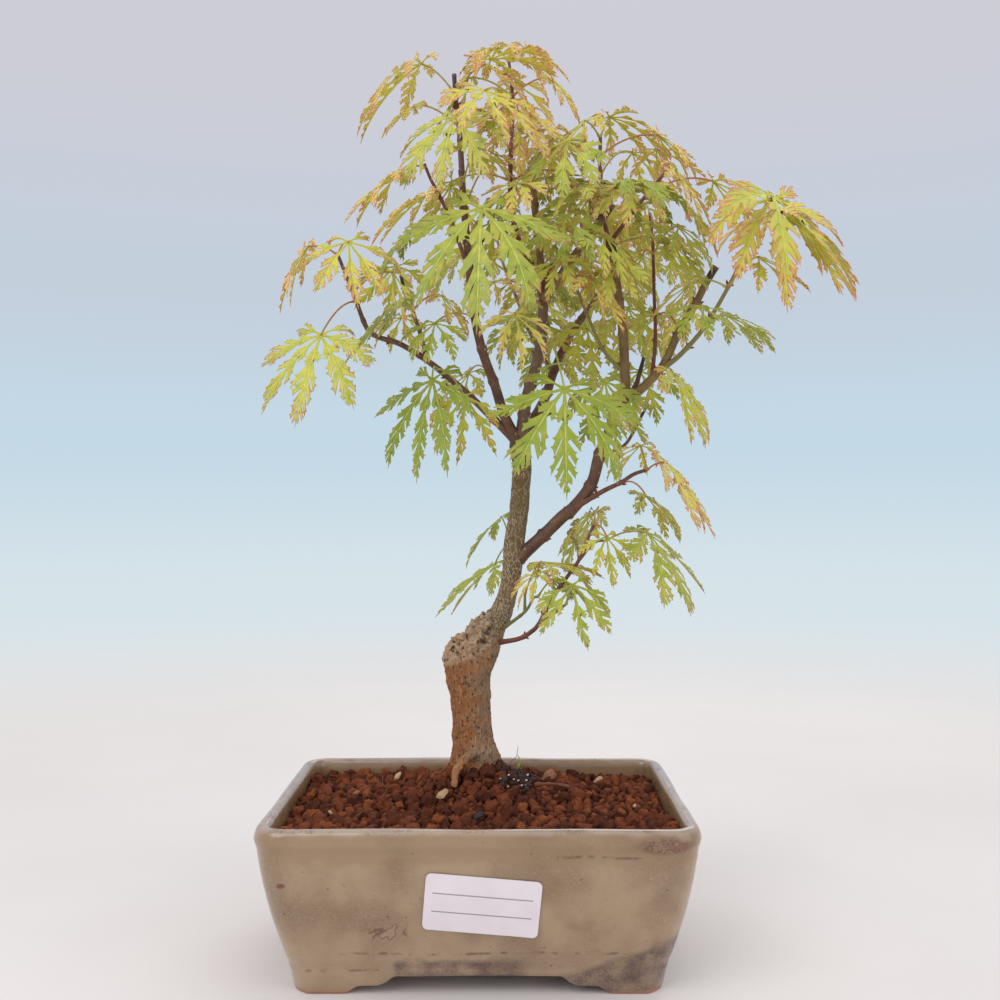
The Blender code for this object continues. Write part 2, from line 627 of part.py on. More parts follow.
def stalk_start(place, way):
    """Where a stalk leaving the twig this way comes clear of the bark."""
    point, radius, along, to_go = place
    slant = way.dot(along)
    sideways = (radius + STALK_GAP) / max(0.05, math.sqrt(max(0.0, 1 - slant * slant)))
    over_end = (to_go + STALK_GAP) / slant if slant > 0.05 else sideways
    return point + way * min(sideways, over_end)


def leaf_arm(bm, hub, first, last, path, half_widths, across, drops):
    """One lobe or the stalk: a three-sided arm from two hub points along path.

    hub is the hub's top and bottom vertices; the last station ends in a point where its width is 0.
    """
    top, bottom = hub
    left, right, keel = first, last, bottom
    bm.faces.new((top, first, last))
    for point, half, side, drop in zip(path, half_widths, across, drops):
        if half == 0:
            tip = bm.verts.new(point)
            bm.faces.new((left, tip, right))
            bm.faces.new((left, keel, tip))
            bm.faces.new((right, tip, keel))
            return
        new_left, new_right = bm.verts.new(point + side * half), bm.verts.new(point - side * half)
        new_keel = bm.verts.new(point + drop)
        bm.faces.new((left, new_left, new_right, right))
        bm.faces.new((left, keel, new_keel, new_left))
        bm.faces.new((right, new_right, new_keel, keel))
        left, right, keel = new_left, new_right, new_keel
    bm.faces.new((left, keel, right))


def lobe_path(start, heading_out, side, length, stations):
    """Points along a lobe that droops as it goes out, and the direction across it at each."""
    points, across, point, done = [], [], start, 0.0
    for station in stations:
        weight = DROOP * (station + done) / 2
        way = (heading_out * (1 - weight) + Vector((0, 0, -1)) * weight).normalized()
        point = point + way * (station - done) * length
        done = station
        points.append(point)
        across.append((side - way * side.dot(way)).normalized())
    return points, across


def make_leaf(place, row, turn, lift):
    """A leaf's bmesh, with its stalk turned and lifted from the angles its row gives."""
    _, _, heading, rise, stalk, blade_heading, dip, size, _ = row
    way = direction(heading + turn, rise + lift)
    size, stalk = size * LEAF_SCALE, stalk * LEAF_SCALE
    start = stalk_start(place, way)
    palm = start + way * stalk
    forward = direction(blade_heading + turn, lift - dip)
    side = Vector((0, 0, 1)).cross(forward).normalized()
    up = forward.cross(side)
    hub_radius = size * HUB_SHARE
    angles = [math.radians(lobe[0]) for lobe in LOBES]
    gaps = [(a + b) / 2 for a, b in zip(angles, angles[1:])]
    outer = (angles[-1] + math.pi) / 2
    gaps = [-outer] + gaps + [outer]
    bm = bmesh.new()
    thick = up * -BLADE_THICKNESS
    hub = bm.verts.new(palm), bm.verts.new(palm + thick)
    ring = [bm.verts.new(palm + (forward * math.cos(g) + side * math.sin(g)) * hub_radius) for g in gaps]
    for index, (angle, share, wide) in enumerate(LOBES):
        angle = math.radians(angle)
        out = forward * math.cos(angle) + side * math.sin(angle)
        across_hub = side * math.cos(angle) - forward * math.sin(angle)
        length, half = size * share, size * LOBE_WIDTH_SHARE * wide / 2
        stations = (0.45, 1.0) if share < 0.5 else (0.35, 0.68, 1.0)
        widths = (half, 0) if share < 0.5 else (half * 0.8, half, 0)
        path, across = lobe_path(palm, out, across_hub, length, stations)
        drops = [thick * (1 - LOBE_THINNING * s) for s in stations]
        leaf_arm(bm, hub, ring[index + 1], ring[index], path, widths, across, drops)
    arch = Vector((0, 0, STALK_ARCH * stalk))
    path = []
    for share in (0.3, 0.65, 1.0):
        path.append(palm.lerp(start, share) + arch * 4 * share * (1 - share))
    back = -way
    across = (Vector((0, 0, 1)).cross(back)).normalized()
    if across.dot(side) > 0:
        across = -across
    drop = back.cross(across).normalized() * (2 * STALK_RADIUS)
    if drop.dot(up) > 0:
        drop = -drop
    leaf_arm(bm, hub, ring[0], ring[-1], path, [STALK_RADIUS] * 3, [across] * 3, [drop] * 3)
    return bm


def tree_of(bm):
    """A search tree of a bmesh's faces, and its box."""
    found = BVHTree.FromBMesh(bm)
    corners = [v.co for v in bm.verts]
    low = Vector(min(c[i] for c in corners) for i in range(3))
    high = Vector(max(c[i] for c in corners) for i in range(3))
    return found, low, high


def touches(one, other):
    if any(one[1][i] > other[2][i] or other[1][i] > one[2][i] for i in range(3)):
        return False
    return bool(one[0].overlap(other[0]))


def leaf_tries():
    """Turns and lifts to try, the smallest first: a leaf takes the first that clears its neighbours."""
    tries = [(turn, lift) for turn in range(-72, 73, 8) for lift in range(-32, 33, 8)]
    return sorted(tries, key=lambda t: (abs(t[0]) + 1.5 * abs(t[1]), t))


def make_leaves(tubes):
    places = {name: (points, radii) for name, points, radii, _ in tubes}
    wood = bmesh.new()
    for _, points, radii, sides in tubes:
        tube(wood, points, [r + GAP / 2 for r in radii], sides)
    solid = [tree_of(wood)]
    wood.free()
    leaves = []
    for number, row in enumerate(LEAVES, 1):
        place = place_on(*places[row[0]], row[1])
        for turn, lift in leaf_tries():
            bm = make_leaf(place, row, turn, lift)
            tree = tree_of(bm)
            if not any(touches(tree, other) for other in solid):
                break
            bm.free()
        else:
            bm = make_leaf(place, row, 0, 0)
            tree = tree_of(bm)
        solid.append(tree)
        leaves.append(add_object(f"leaf_{number:02d}", bm, LEAF_MATERIALS[row[-1]]))
    return leaves


# --- The whole plant -------------------------------------------------------------------------

def box_middle(objects):
    """The middle of the objects' box in X and Y, in metres, with modifiers counted."""
    bpy.context.view_layer.update()
    graph = bpy.context.evaluated_depsgraph_get()
    corners = []
    for made in objects:
        mesh = made.evaluated_get(graph).to_mesh()
        corners += [made.matrix_world @ v.co for v in mesh.vertices]
        made.evaluated_get(graph).to_mesh_clear()
    xs, ys = [c.x for c in corners], [c.y for c in corners]
    return (min(xs) + max(xs)) / 2, (min(ys) + max(ys)) / 2


def main():
    for made in list(bpy.data.objects):
        bpy.data.objects.remove(made)
    tubes = wood_tubes()
    pieces = [make_pot(), make_soil(tubes), make_tree(tubes), make_label()]
    for side, x in zip(("left", "right"), drain_places()):
        pieces.append(make_screen("drain_screen_" + side, x))
        pieces.append(make_wire("screen_wire_" + side, x))
    pieces += make_leaves(tubes)
    middle_x, middle_y = box_middle(pieces)
    origin = bpy.data.objects.new("plant_origin", None)
    origin.location = (-middle_x, -middle_y, 0)
    for made in bpy.data.objects:
        if made is not origin:
            made.parent = origin
    bpy.context.scene.collection.objects.link(origin)
    for made in pieces:
        made.data.shade_smooth()
        made.data.set_sharp_from_angle(angle=math.radians(35))


main()
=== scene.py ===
"""Maple bonsai in a glazed pot: its finished surfaces, built round the plant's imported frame.

Each section makes one piece, or one group of like pieces, in the order in which the plant is put
together. Plans are drawn in millimetres about the middle of the pot, with its feet on Z = 0 and
its front towards -Y, and add_piece moves them into the frame.
"""

import math
import random

import bmesh
import bpy
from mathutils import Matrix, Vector, noise


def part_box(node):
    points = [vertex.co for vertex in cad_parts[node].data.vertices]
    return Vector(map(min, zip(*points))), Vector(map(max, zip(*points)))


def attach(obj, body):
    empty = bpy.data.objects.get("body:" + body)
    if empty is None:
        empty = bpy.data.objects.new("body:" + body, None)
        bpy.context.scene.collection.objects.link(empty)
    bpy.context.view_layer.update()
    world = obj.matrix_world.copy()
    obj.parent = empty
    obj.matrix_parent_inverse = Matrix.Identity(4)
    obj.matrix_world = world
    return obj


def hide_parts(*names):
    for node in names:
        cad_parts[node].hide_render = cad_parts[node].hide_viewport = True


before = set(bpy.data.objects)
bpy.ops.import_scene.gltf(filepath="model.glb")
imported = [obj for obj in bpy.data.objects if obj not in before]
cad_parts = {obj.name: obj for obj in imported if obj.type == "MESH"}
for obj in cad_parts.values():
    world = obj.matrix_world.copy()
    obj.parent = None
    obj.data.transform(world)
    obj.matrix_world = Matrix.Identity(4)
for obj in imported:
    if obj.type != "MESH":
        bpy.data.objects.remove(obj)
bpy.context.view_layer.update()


# --- Camera, floor and light -------------------------------------------------------------------
# The camera stands half a metre in front of the pot, a little above its rim. The floor is a pale
# round table top that fades out into a plain studio background, lit softly from all round.

MM = 0.001
pot_low, pot_high = (Vector(corner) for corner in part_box("pot"))
POT_MIDDLE = Vector(((pot_low.x + pot_high.x) / 2, (pot_low.y + pot_high.y) / 2, 0))
CAMERA_PLACE = (9.7, -512.8, 215)
CAMERA_LENS = 37.66
CAMERA_TILT = 90.27
FLOOR_RADIUS = 1500.0
# Name, place, size in metres and power in watts of each soft lamp, and what they all face.
LAMPS = [("window", (-620, -700, 900), 0.8, 5.0), ("fill", (700, -500, 500), 0.7, 1.5),
         ("back", (250, 800, 800), 0.7, 2.5)]
LAMP_AIM = (10, 10, 180)


class Wire:
    """One socket of a node tree: arithmetic on it adds Math nodes, and node() adds any other."""

    def __init__(self, tree, socket=None):
        self.tree = tree
        self.socket = socket

    def node(self, kind, settings=None, inputs=None, output=0):
        made = self.tree.nodes.new(kind)
        for name, value in (settings or {}).items():
            if name == "stops":
                made.color_ramp.interpolation = "EASE"
                ramp = made.color_ramp.elements
                while len(ramp) < len(value):
                    ramp.new(0.5)
                for element, (position, shade) in zip(ramp, value):
                    element.position = position
                    element.color = shade
            else:
                setattr(made, name, value)
        for name, value in (inputs or {}).items():
            if isinstance(value, Wire):
                self.tree.links.new(value.socket, made.inputs[name])
            else:
                made.inputs[name].default_value = value
        return Wire(self.tree, made.outputs[output])

    def math(self, operation, *values):
        return self.node("ShaderNodeMath", {"operation": operation}, dict(enumerate(values)))

    def __add__(self, other):
        return self.math("ADD", self, other)

    def __sub__(self, other):
        return self.math("SUBTRACT", self, other)

    def __rsub__(self, other):
        return self.math("SUBTRACT", other, self)

    def __mul__(self, other):
        return self.math("MULTIPLY", self, other)

    def __pow__(self, other):
        return self.math("POWER", self, other)

    def __abs__(self):
        return self.math("ABSOLUTE", self)

    __radd__ = __add__
    __rmul__ = __mul__

    def step(self, low, high):
        """0 up to low, 1 from high on, and a soft edge between; low may be the larger one."""
        inputs = {"Value": self, "From Min": min(low, high), "From Max": max(low, high)}
        if low > high:
            inputs.update({"To Min": 1.0, "To Max": 0.0})
        return self.node("ShaderNodeMapRange", {"interpolation_type": "SMOOTHSTEP"}, inputs)

    def inside(self, low, high, soft):
        """1 from low to high, and 0 outside, with soft edges."""
        return self.step(low - soft, low) * self.step(high + soft, high)

    def pick(self, first, second):
        """The first colour where this is 0, the second where it is 1."""
        return self.node("ShaderNodeMix", {"data_type": "RGBA"}, {0: self, 6: first, 7: second}, 2)

    def ramp(self, *stops):
        return self.node("ShaderNodeValToRGB", {"stops": stops}, {"Fac": self})

    def blotches(self, size, detail=3.0, stretch=(1, 1, 1)):
        """Noise from about -0.5 to 0.5 at this position, in blotches of size millimetres."""
        moved = self.node("ShaderNodeMapping", {}, {"Vector": self, "Scale": stretch})
        inputs = {"Vector": moved, "Scale": 1 / (size * MM), "Detail": detail}
        return self.node("ShaderNodeTexNoise", {}, inputs) - 0.5

    def cells(self, size, stretch=(1, 1, 1)):
        """Distance from scattered points that lie about size millimetres apart, in shares of size."""
        moved = self.node("ShaderNodeMapping", {}, {"Vector": self, "Scale": stretch})
        return self.node("ShaderNodeTexVoronoi", {}, {"Vector": moved, "Scale": 1 / (size * MM)})

    def axis(self, name):
        """This position's X, Y or Z in millimetres."""
        return self.node("ShaderNodeSeparateXYZ", {}, {"Vector": self}, "XYZ".index(name)) * (1 / MM)

    def attribute(self, name):
        return self.node("ShaderNodeAttribute", {"attribute_name": name}, {}, 2)


def paint(red, green, blue):
    """A colour from a chart's display values, 0 to 255."""
    return (*(((c / 255 + 0.055) / 1.055) ** 2.4 if c > 10 else c / 3294 for c in (red, green, blue)), 1.0)


def new_material(name):
    """An empty material, the position on the pot's plan, and its shader."""
    made = bpy.data.materials.new(name)
    made.use_nodes = True
    start = Wire(made.node_tree)
    position = start.node("ShaderNodeTexCoord", {}, {}, 3)
    place = start.node("ShaderNodeMapping", {}, {"Vector": position, "Location": -POT_MIDDLE})
    return made, place, made.node_tree.nodes["Principled BSDF"]


def set_shader(shader, **values):
    """Links or sets the shader's sockets; relief is a height in millimetres for a Bump node."""
    for name, value in values.items():
        if name == "relief":
            name, value = "Normal", value.node("ShaderNodeBump", {}, {"Height": value, "Distance": MM})
        socket = shader.inputs[name.replace("_", " ")]
        if isinstance(value, Wire):
            value.tree.links.new(value.socket, socket)
        else:
            socket.default_value = value


def to_frame(x, y, z):
    return POT_MIDDLE + Vector((x, y, z)) * MM


def add_mesh(name, bm, material, sharp_above=50):
    """A bmesh drawn in plan millimetres, as an object in its place in the frame."""
    bmesh.ops.scale(bm, vec=(MM, MM, MM), verts=bm.verts[:])
    bmesh.ops.translate(bm, vec=POT_MIDDLE, verts=bm.verts[:])
    mesh = bpy.data.meshes.new(name)
    bm.to_mesh(mesh)
    bm.free()
    mesh.materials.append(material)
    mesh.shade_smooth()
    mesh.set_sharp_from_angle(angle=math.radians(sharp_above))
    made = bpy.data.objects.new(name, mesh)
    bpy.context.scene.collection.objects.link(made)
    return made


def add_piece(name, bm, slot, material, *nodes, sharp_above=50):
    """A finished piece, which stands for the CAD nodes named."""
    made = add_mesh(name, bm, material, sharp_above)
    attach(made, "root")
    if nodes:
        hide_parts(*nodes)
    return made


def add_camera():
    camera = bpy.data.objects.new("camera", bpy.data.cameras.new("camera"))
    camera.data.lens = CAMERA_LENS
    camera.data.clip_start = 0.01
    camera.location = to_frame(*CAMERA_PLACE)
    camera.rotation_euler = (math.radians(CAMERA_TILT), 0, 0)
    bpy.context.scene.collection.objects.link(camera)
    bpy.context.scene.camera = camera


def add_floor():
    made, place, shader = new_material("table_top")
    x, y = place.axis("X"), place.axis("Y")
    away = (x * x + y * y) ** 0.5
    base = place.blotches(160, 3).step(-0.3, 0.3).pick(paint(231, 225, 222), paint(226, 220, 217))
    set_shader(shader, Base_Color=base, Roughness=0.7, Alpha=away.step(FLOOR_RADIUS * 0.9, 200) ** 1.6)
    bm = bmesh.new()
    bmesh.ops.create_circle(bm, cap_ends=True, segments=96, radius=FLOOR_RADIUS)
    bmesh.ops.translate(bm, vec=(0, 0, -0.2), verts=bm.verts[:])
    add_mesh("table_top", bm, made)


def add_lights():
    world = bpy.data.worlds.new("studio")
    world.use_nodes = True
    bpy.context.scene.world = world
    start = Wire(world.node_tree)
    view = start.node("ShaderNodeTexCoord", {}, {}, 0)
    height = view.node("ShaderNodeSeparateXYZ", {}, {"Vector": view}, 2)
    shade = (height * 0.5 + 0.5).ramp(
        (0.0, paint(238, 230, 226)), (0.40, paint(232, 229, 228)), (0.46, paint(214, 227, 233)),
        (0.53, paint(196, 217, 230)), (0.60, paint(196, 207, 220)), (0.70, paint(205, 205, 214)),
        (1.0, paint(240, 239, 240)))
    background = world.node_tree.nodes["Background"]
    world.node_tree.links.new(shade.socket, background.inputs["Color"])
    background.inputs["Strength"].default_value = 1.0
    for name, place, size, power in LAMPS:
        light = bpy.data.objects.new(name, bpy.data.lights.new(name, "AREA"))
        light.data.size = size
        light.data.energy = power
        light.location = to_frame(*place)
        light.rotation_euler = (to_frame(*LAMP_AIM) - light.location).to_track_quat("-Z", "Y").to_euler()
        bpy.context.scene.collection.objects.link(light)
    bpy.context.scene.view_settings.view_transform = "Standard"


add_camera()
add_floor()
add_lights()


# --- Pot ---------------------------------------------------------------------------------------
# Slab-built stoneware with rounded corners and a round lip, on four corner feet cut to a cloud
# outline. Dipped in a grey-brown glaze that breaks to lilac on the rim, where its lighter
# lilac-grey is also a painted highlight, and to purple-brown where it ran thin. The feet stand on
# bare orange clay.

POT_WIDTH, POT_DEPTH, POT_HEIGHT = (pot_high - pot_low) / MM
POT_TAPER = 13.0
POT_WALL = 6.5
POT_BASE = 8.0
FLOOR_TOP = 15.0
LIP = 3.6
CORNER_RADIUS = 14.0
FOOT_CORNER = 12.4
FOOT_TOP = POT_BASE + 2.5
FOOT_WIDTH = 13.5
FOOT_ARMS = (28.0, 22.0)
FOOT_NARROWING = 1.8
DRAIN_RADIUS = 12.0
GLAZE_VOXEL = 1.3
DRAIN_SCREENS = ("drain_screen_left", "drain_screen_right")


def bridge(bm, rings, caps=True):
    """Quads between closed rings of vertices, and a face over each end."""
    for low, high in zip(rings, rings[1:]):
        for i in range(len(low)):
            j = (i + 1) % len(low)
            bm.faces.new((low[i], low[j], high[j], high[i]))
    if caps:
        bm.faces.new(rings[0])
        bm.faces.new(rings[-1])


def rounded_ring(half_x, half_y, corner, z, corner_cuts=12, side_cuts=0):
    """Points of a rounded rectangle, with extra points along its sides."""
    points = []
    for turn, (sx, sy) in enumerate(((1, 1), (-1, 1), (-1, -1), (1, -1))):
        centre = Vector((sx * (half_x - corner), sy * (half_y - corner), z))
        for k in range(corner_cuts + 1):
            angle = math.radians(90 * (turn + k / corner_cuts))
            points.append(centre + Vector((math.cos(angle), math.sin(angle), 0)) * corner)
        along = Vector((-2 * centre.x, 0, 0)) if turn % 2 == 0 else Vector((0, -2 * centre.y, 0))
        last = points[-1]
        points += [last + along * (k / (side_cuts + 1)) for k in range(1, side_cuts + 1)]
    return points


def pot_inset(z):
    """How far the outside has tapered in at height z."""
    share = min(1.0, max(0.0, (POT_HEIGHT - z) / (POT_HEIGHT - POT_BASE)))
    return POT_TAPER * share**1.6


def pot_ring(z, inward, side_cuts=0):
    corner = max(3.5, CORNER_RADIUS - 0.12 * inward - max(0.0, inward - pot_inset(z)))
    return rounded_ring(POT_WIDTH / 2 - inward, POT_DEPTH / 2 - inward, corner, z, 12, side_cuts)


def pot_levels():
    """Heights and insets from the base up the outside, over the lip and down the inside."""
    levels = []
    shoulder = POT_HEIGHT - LIP
    for k in range(40):
        z = POT_BASE + (shoulder - POT_BASE) * k / 40
        roll = 0.9 * math.exp(-(((z - 70) / 2.2) ** 2)) - 0.9 * math.exp(-(((z - 12.6) / 1.1) ** 2))
        levels.append((z, pot_inset(z) - roll))
    for k in range(13):
        angle = math.pi * k / 12
        across = POT_WALL / 2 * (1 - math.cos(angle))
        levels.append((shoulder + LIP * math.sin(angle), pot_inset(shoulder) + across))
    for k in range(1, 15):
        z = shoulder - (shoulder - FLOOR_TOP) * k / 14
        levels.append((z, POT_WALL + pot_inset(z)))
    return levels


def add_foot(bm, side_x, side_y):
    """One foot: two arms under a corner, with undersides cut in a cloud curve."""
    corner_x, corner_y = POT_WIDTH / 2 - POT_TAPER - 0.1, POT_DEPTH / 2 - POT_TAPER - 0.1
    for arm, along_x in zip(FOOT_ARMS, (True, False)):
        under = [(0, 0.6), (0.6, 0), (arm - 2, 0), (arm - 0.4, 0.5), (arm + 0.8, 1.6), (arm + 2.5, 2.7),
                 (arm + 5, 3.2), (arm + 12, 3.5), (arm + 15, 4.3), (arm + 17, 5.8), (arm + 18.5, 8.0)]
        outline = [(0, FOOT_TOP)] + under + [(arm + 18.5, FOOT_TOP)]
        rings = []
        for inset in (0.0, FOOT_WIDTH):
            ring = []
            for t, z in outline:
                x, y = (corner_x - t, corner_y - inset) if along_x else (corner_x - inset, corner_y - t)
                ring.append(bm.verts.new((side_x * x, side_y * y, z)))
            rings.append(ring)
        bridge(bm, rings)


def modified(bm, kind, **settings):
    """The bmesh that one modifier makes of bm. A cutter given as operand is a bmesh too."""
    scratch = []
    for shape in (bm, settings.pop("operand", None)):
        if shape:
            bmesh.ops.recalc_face_normals(shape, faces=shape.faces[:])
            made = bpy.data.objects.new("rough", bpy.data.meshes.new("rough"))
            shape.to_mesh(made.data)
            shape.free()
            bpy.context.scene.collection.objects.link(made)
            scratch.append(made)
    modifier = scratch[0].modifiers.new("change", kind)
    for name, value in settings.items():
        setattr(modifier, name, value)
    if len(scratch) > 1:
        modifier.object = scratch[1]
    bpy.context.view_layer.update()
    result = bmesh.new()
    result.from_mesh(scratch[0].evaluated_get(bpy.context.evaluated_depsgraph_get()).to_mesh())
    for made in scratch:
        bpy.data.meshes.remove(made.data)
    return result


def relax(bm, times):
    axes = {f"use_axis_{axis}": True for axis in "xyz"}
    for _ in range(times):
        bmesh.ops.smooth_vert(bm, verts=bm.verts[:], factor=0.5, **axes)
    bm.normal_update()


def round_foot(at):
    """Moves a point of a foot in, so that the foot's outer corner is round and flush with the wall."""
    inset = pot_inset(at.z) + FOOT_CORNER
    over_x, over_y = abs(at.x) - POT_WIDTH / 2 + inset, abs(at.y) - POT_DEPTH / 2 + inset
    over = math.hypot(over_x, over_y) - FOOT_CORNER
    if over_x > 0 and over_y > 0 and over > 0:
        pull = Vector((math.copysign(over_x, at.x), math.copysign(over_y, at.y), 0)).normalized()
        at -= pull * over
    narrow = FOOT_NARROWING * max(0.0, 1 - at.z / POT_BASE)
    at.x -= math.copysign(narrow * min(1.0, max(0.0, over_x / 6)), at.x)
    at.y -= math.copysign(narrow * min(1.0, max(0.0, over_y / 6)), at.y)


def make_pot():
    bm = bmesh.new()
    bridge(bm, [[bm.verts.new(p) for p in pot_ring(z, inward)] for z, inward in pot_levels()])
    holes = bmesh.new()
    for screen in DRAIN_SCREENS:
        low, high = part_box(screen)
        x = ((low[0] + high[0]) / 2 - POT_MIDDLE.x) / MM
        angles = [math.tau * k / 40 for k in range(40)]
        rim = [(x + DRAIN_RADIUS * math.cos(a), DRAIN_RADIUS * math.sin(a)) for a in angles]
        bridge(holes, [[holes.verts.new((u, v, z)) for u, v in rim] for z in (POT_BASE - 3, FLOOR_TOP + 3)])
    bm = modified(bm, "BOOLEAN", operation="DIFFERENCE", operand=holes)
    for side_x in (-1, 1):
        for side_y in (-1, 1):
            add_foot(bm, side_x, side_y)
    bm = modified(bm, "REMESH", mode="VOXEL", voxel_size=GLAZE_VOXEL)
    relax(bm, 3)
    for vert in bm.verts:
        at = vert.co
        if at.z < FOOT_TOP + 1.5:
            round_foot(at)
        # The slabs bow and the rim wanders a little, and a quirk runs up beside each corner.
        bow = 0.5 * noise.noise(at / 38) * min(1.0, at.z / 12) + 0.05 * noise.noise(at / 4)
        beside = abs(at.x) - (POT_WIDTH / 2 - pot_inset(at.z) - 12)
        if abs(vert.normal.y) > 0.8 and abs(at.y) > 30 and 14 < at.z < 72:
            fade = min(1.0, (at.z - 14) / 6, (72 - at.z) / 8)
            bow -= 0.7 * fade * math.exp(-((beside / 1.6) ** 2))
        at += vert.normal * bow
        at.z += 0.5 * max(0.0, (at.z - 20) / 56) * noise.noise(Vector((at.x, at.y, 0)) / 45)
        if at.z < 0.6:
            at.z = 0.0
    return bm


def glaze_material():
    made, place, shader = new_material("pot_glaze")
    x, y, z = place.axis("X"), place.axis("Y"), place.axis("Z")
    blot, cloud, speck = place.blotches(28, 4), place.blotches(9, 5), place.blotches(0.9, 2)
    front = y.step(-30, -50)

    def spot(at_x, at_z, half_x, half_z, soft=0.5):
        """1 inside a ragged oval on the front wall."""
        away = ((x - at_x) * (1 / half_x)) ** 2 + ((z - at_z) * (1 / half_z)) ** 2
        return front * (away + cloud * 2.2).step(1 + soft, 1 - soft)

    base = (blot * 2.4 + 0.5).step(0.2, 0.9).pick(paint(170, 143, 113), paint(142, 116, 88))
    base = ((speck + blot * 0.3).step(0.04, 0.3) * 0.4).pick(base, paint(184, 160, 132))
    base = (z.step(38, 6) * 0.25).pick(base, paint(178, 150, 122))
    base = (speck.step(-0.12, -0.3) * 0.45).pick(base, paint(116, 90, 66))
    rusty = (place.blotches(15, 5) + blot * 0.5).step(0.1, 0.4)
    base = (rusty * 0.5).pick(base, paint(138, 100, 70))
    # A warm band under the rim, then a lilac-grey lip that shows brown where it is worn. The lip's
    # lilac-grey is partly the glaze and partly a painted highlight along the rim's top.
    warm = (z + cloud * 8).inside(64, 72, 5)
    base = (warm * 0.5).pick(base, paint(146, 114, 80))
    lip_glaze_and_highlight = (z + cloud * 3.5).step(73.2, 75.2)
    base = (lip_glaze_and_highlight * 0.4).pick(base, paint(184, 170, 164))
    worn = lip_glaze_and_highlight * (place.blotches(10, 5) + speck * 0.5).step(0.0, 0.2)
    base = (worn * 0.7).pick(base, paint(128, 98, 84))
    # Purple-brown thin glaze along the middle of the foot of the wall, and up its right-hand end.
    ragged = cloud * 8 + speck * 2
    low_patch = (z + ragged).step(18.5, 15.5) * (x + ragged).inside(-33, 18, 5) * (z + cloud * 3).step(7, 9)
    end_patch = (z - x * 0.36 + 4.5 + ragged * 0.8).step(2, -2) * (x + ragged).step(28, 35)
    thin = z.math("MINIMUM", low_patch * 0.9 + end_patch, 1.0) * y.step(58, 40)
    base = (thin * (speck * 1.2 + cloud * 2.5 + 0.62)).pick(base, paint(92, 68, 62))
    for at_z, low_x, high_x, strength in ((64.5, 28, 70, 0.8), (20, -54, 66, 0.75), (11.5, -76, -46, 0.6)):
        wave = z - at_z - place.blotches(30, 2) * 3.4
        line = (abs(wave + cloud * 0.9)).step(1.0, 0.2) * x.inside(low_x, high_x, 8)
        patchy = place.blotches(5, 3).step(-0.04, 0.16)
        base = (front * line * patchy * strength).pick(base, paint(100, 72, 62))
    base = spot(-84.5, 51.5, 1.9, 1.1).pick(base, paint(124, 74, 48))
    squiggle = abs(place.blotches(7, 2)).step(0.035, 0.01)
    base = (spot(-39, 31, 9, 5.5, 0.8) * squiggle * 0.9).pick(base, paint(112, 78, 58))
    rim_stain = spot(80, 69.5, 12, 3.2, 0.9) * (cloud + speck).step(-0.25, 0.1)
    base = (rim_stain * 0.9).pick(base, paint(96, 58, 48))
    base = (spot(85, 69, 4.5, 1.0, 0.9) * 0.6).pick(base, paint(132, 80, 58))
    pin = place.cells(7.5).step(0.08, 0.035)
    base = (pin * (blot * 2 + 0.5).step(0.2, 0.7) * 0.8).pick(base, paint(84, 60, 46))
    clay = (z + cloud * 1.2).step(1.7, 0.8)
    base = clay.pick(base, (cloud + 0.5).pick(paint(186, 134, 106), paint(160, 108, 82)))
    inside = (y.inside(-58, 58, 2) * x.inside(-88, 88, 2)) * z.inside(48, 71, 2)
    base = (inside * 0.7).pick(base, paint(128, 100, 72))
    rough = clay * 0.6 + thin * 0.14 + speck * 0.1 + 0.2
    relief = place.blotches(3.2, 2) * 0.10 + place.blotches(0.8, 2) * 0.035 - pin * 0.15
    set_shader(shader, Base_Color=base, Roughness=rough, relief=relief)
    set_shader(shader, Coat_Weight=(1 - clay) * 0.5, Coat_Roughness=0.1)
    return made


add_piece("glazed_pot", make_pot(), "glaze", glaze_material(), "pot", sharp_above=60)


# --- Drain screens and their wires --------------------------------------------------------------
# A square of black plastic mesh lies over each drain hole inside the pot, and a staple of
# annealed aluminium wire holds it down through the hole. The CAD pieces show, with a finish.

def screen_material():
    made, place, shader = new_material("screen_plastic")
    wear = place.blotches(2.5)
    base = (wear.step(0.0, 0.3) * 0.6).pick(paint(26, 26, 27), paint(66, 54, 46))
    set_shader(shader, Base_Color=base, Roughness=wear * 0.3 + 0.55, relief=place.blotches(0.5, 2) * 0.03)
    return made


def wire_material():
    made, place, shader = new_material("copper_coloured_wire")
    wear = place.blotches(1.5, 3, (1, 6, 6))
    base = (wear + 0.5).step(0.35, 0.7).pick(paint(176, 128, 96), paint(118, 82, 62))
    set_shader(shader, Base_Color=base, Roughness=wear * 0.3 + 0.36, Metallic=1.0, relief=wear * 0.02)
    return made


def finish_node(node, material):
    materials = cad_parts[node].data.materials
    materials.clear()
    materials.append(material)


plastic, bent_wire = screen_material(), wire_material()
for screen in DRAIN_SCREENS:
    finish_node(screen, plastic)
    finish_node(screen.replace("drain_screen", "screen_wire"), bent_wire)


# --- Soil --------------------------------------------------------------------------------------
# Lumps of baked red clay in three sizes, coarse on top and fine between, heaped round the trunk.
# They are loose, scattered at random over a bed that stands for the soil below them. The bed is
# the same clay at half brightness: painted shade for the gaps between the lumps.

SOIL_EDGE = 69.0
SOIL_BOTTOM = 17.6
MOUND_HEIGHT = 15.0
MOUND_RADIUS = 17.0
WALL_GAP = 0.4
LUMP_DEPTH = 3.4
TRUNK_FOOT = Vector((-3.0, 22.0, 0.0))
TRUNK_RADIUS = 14.0


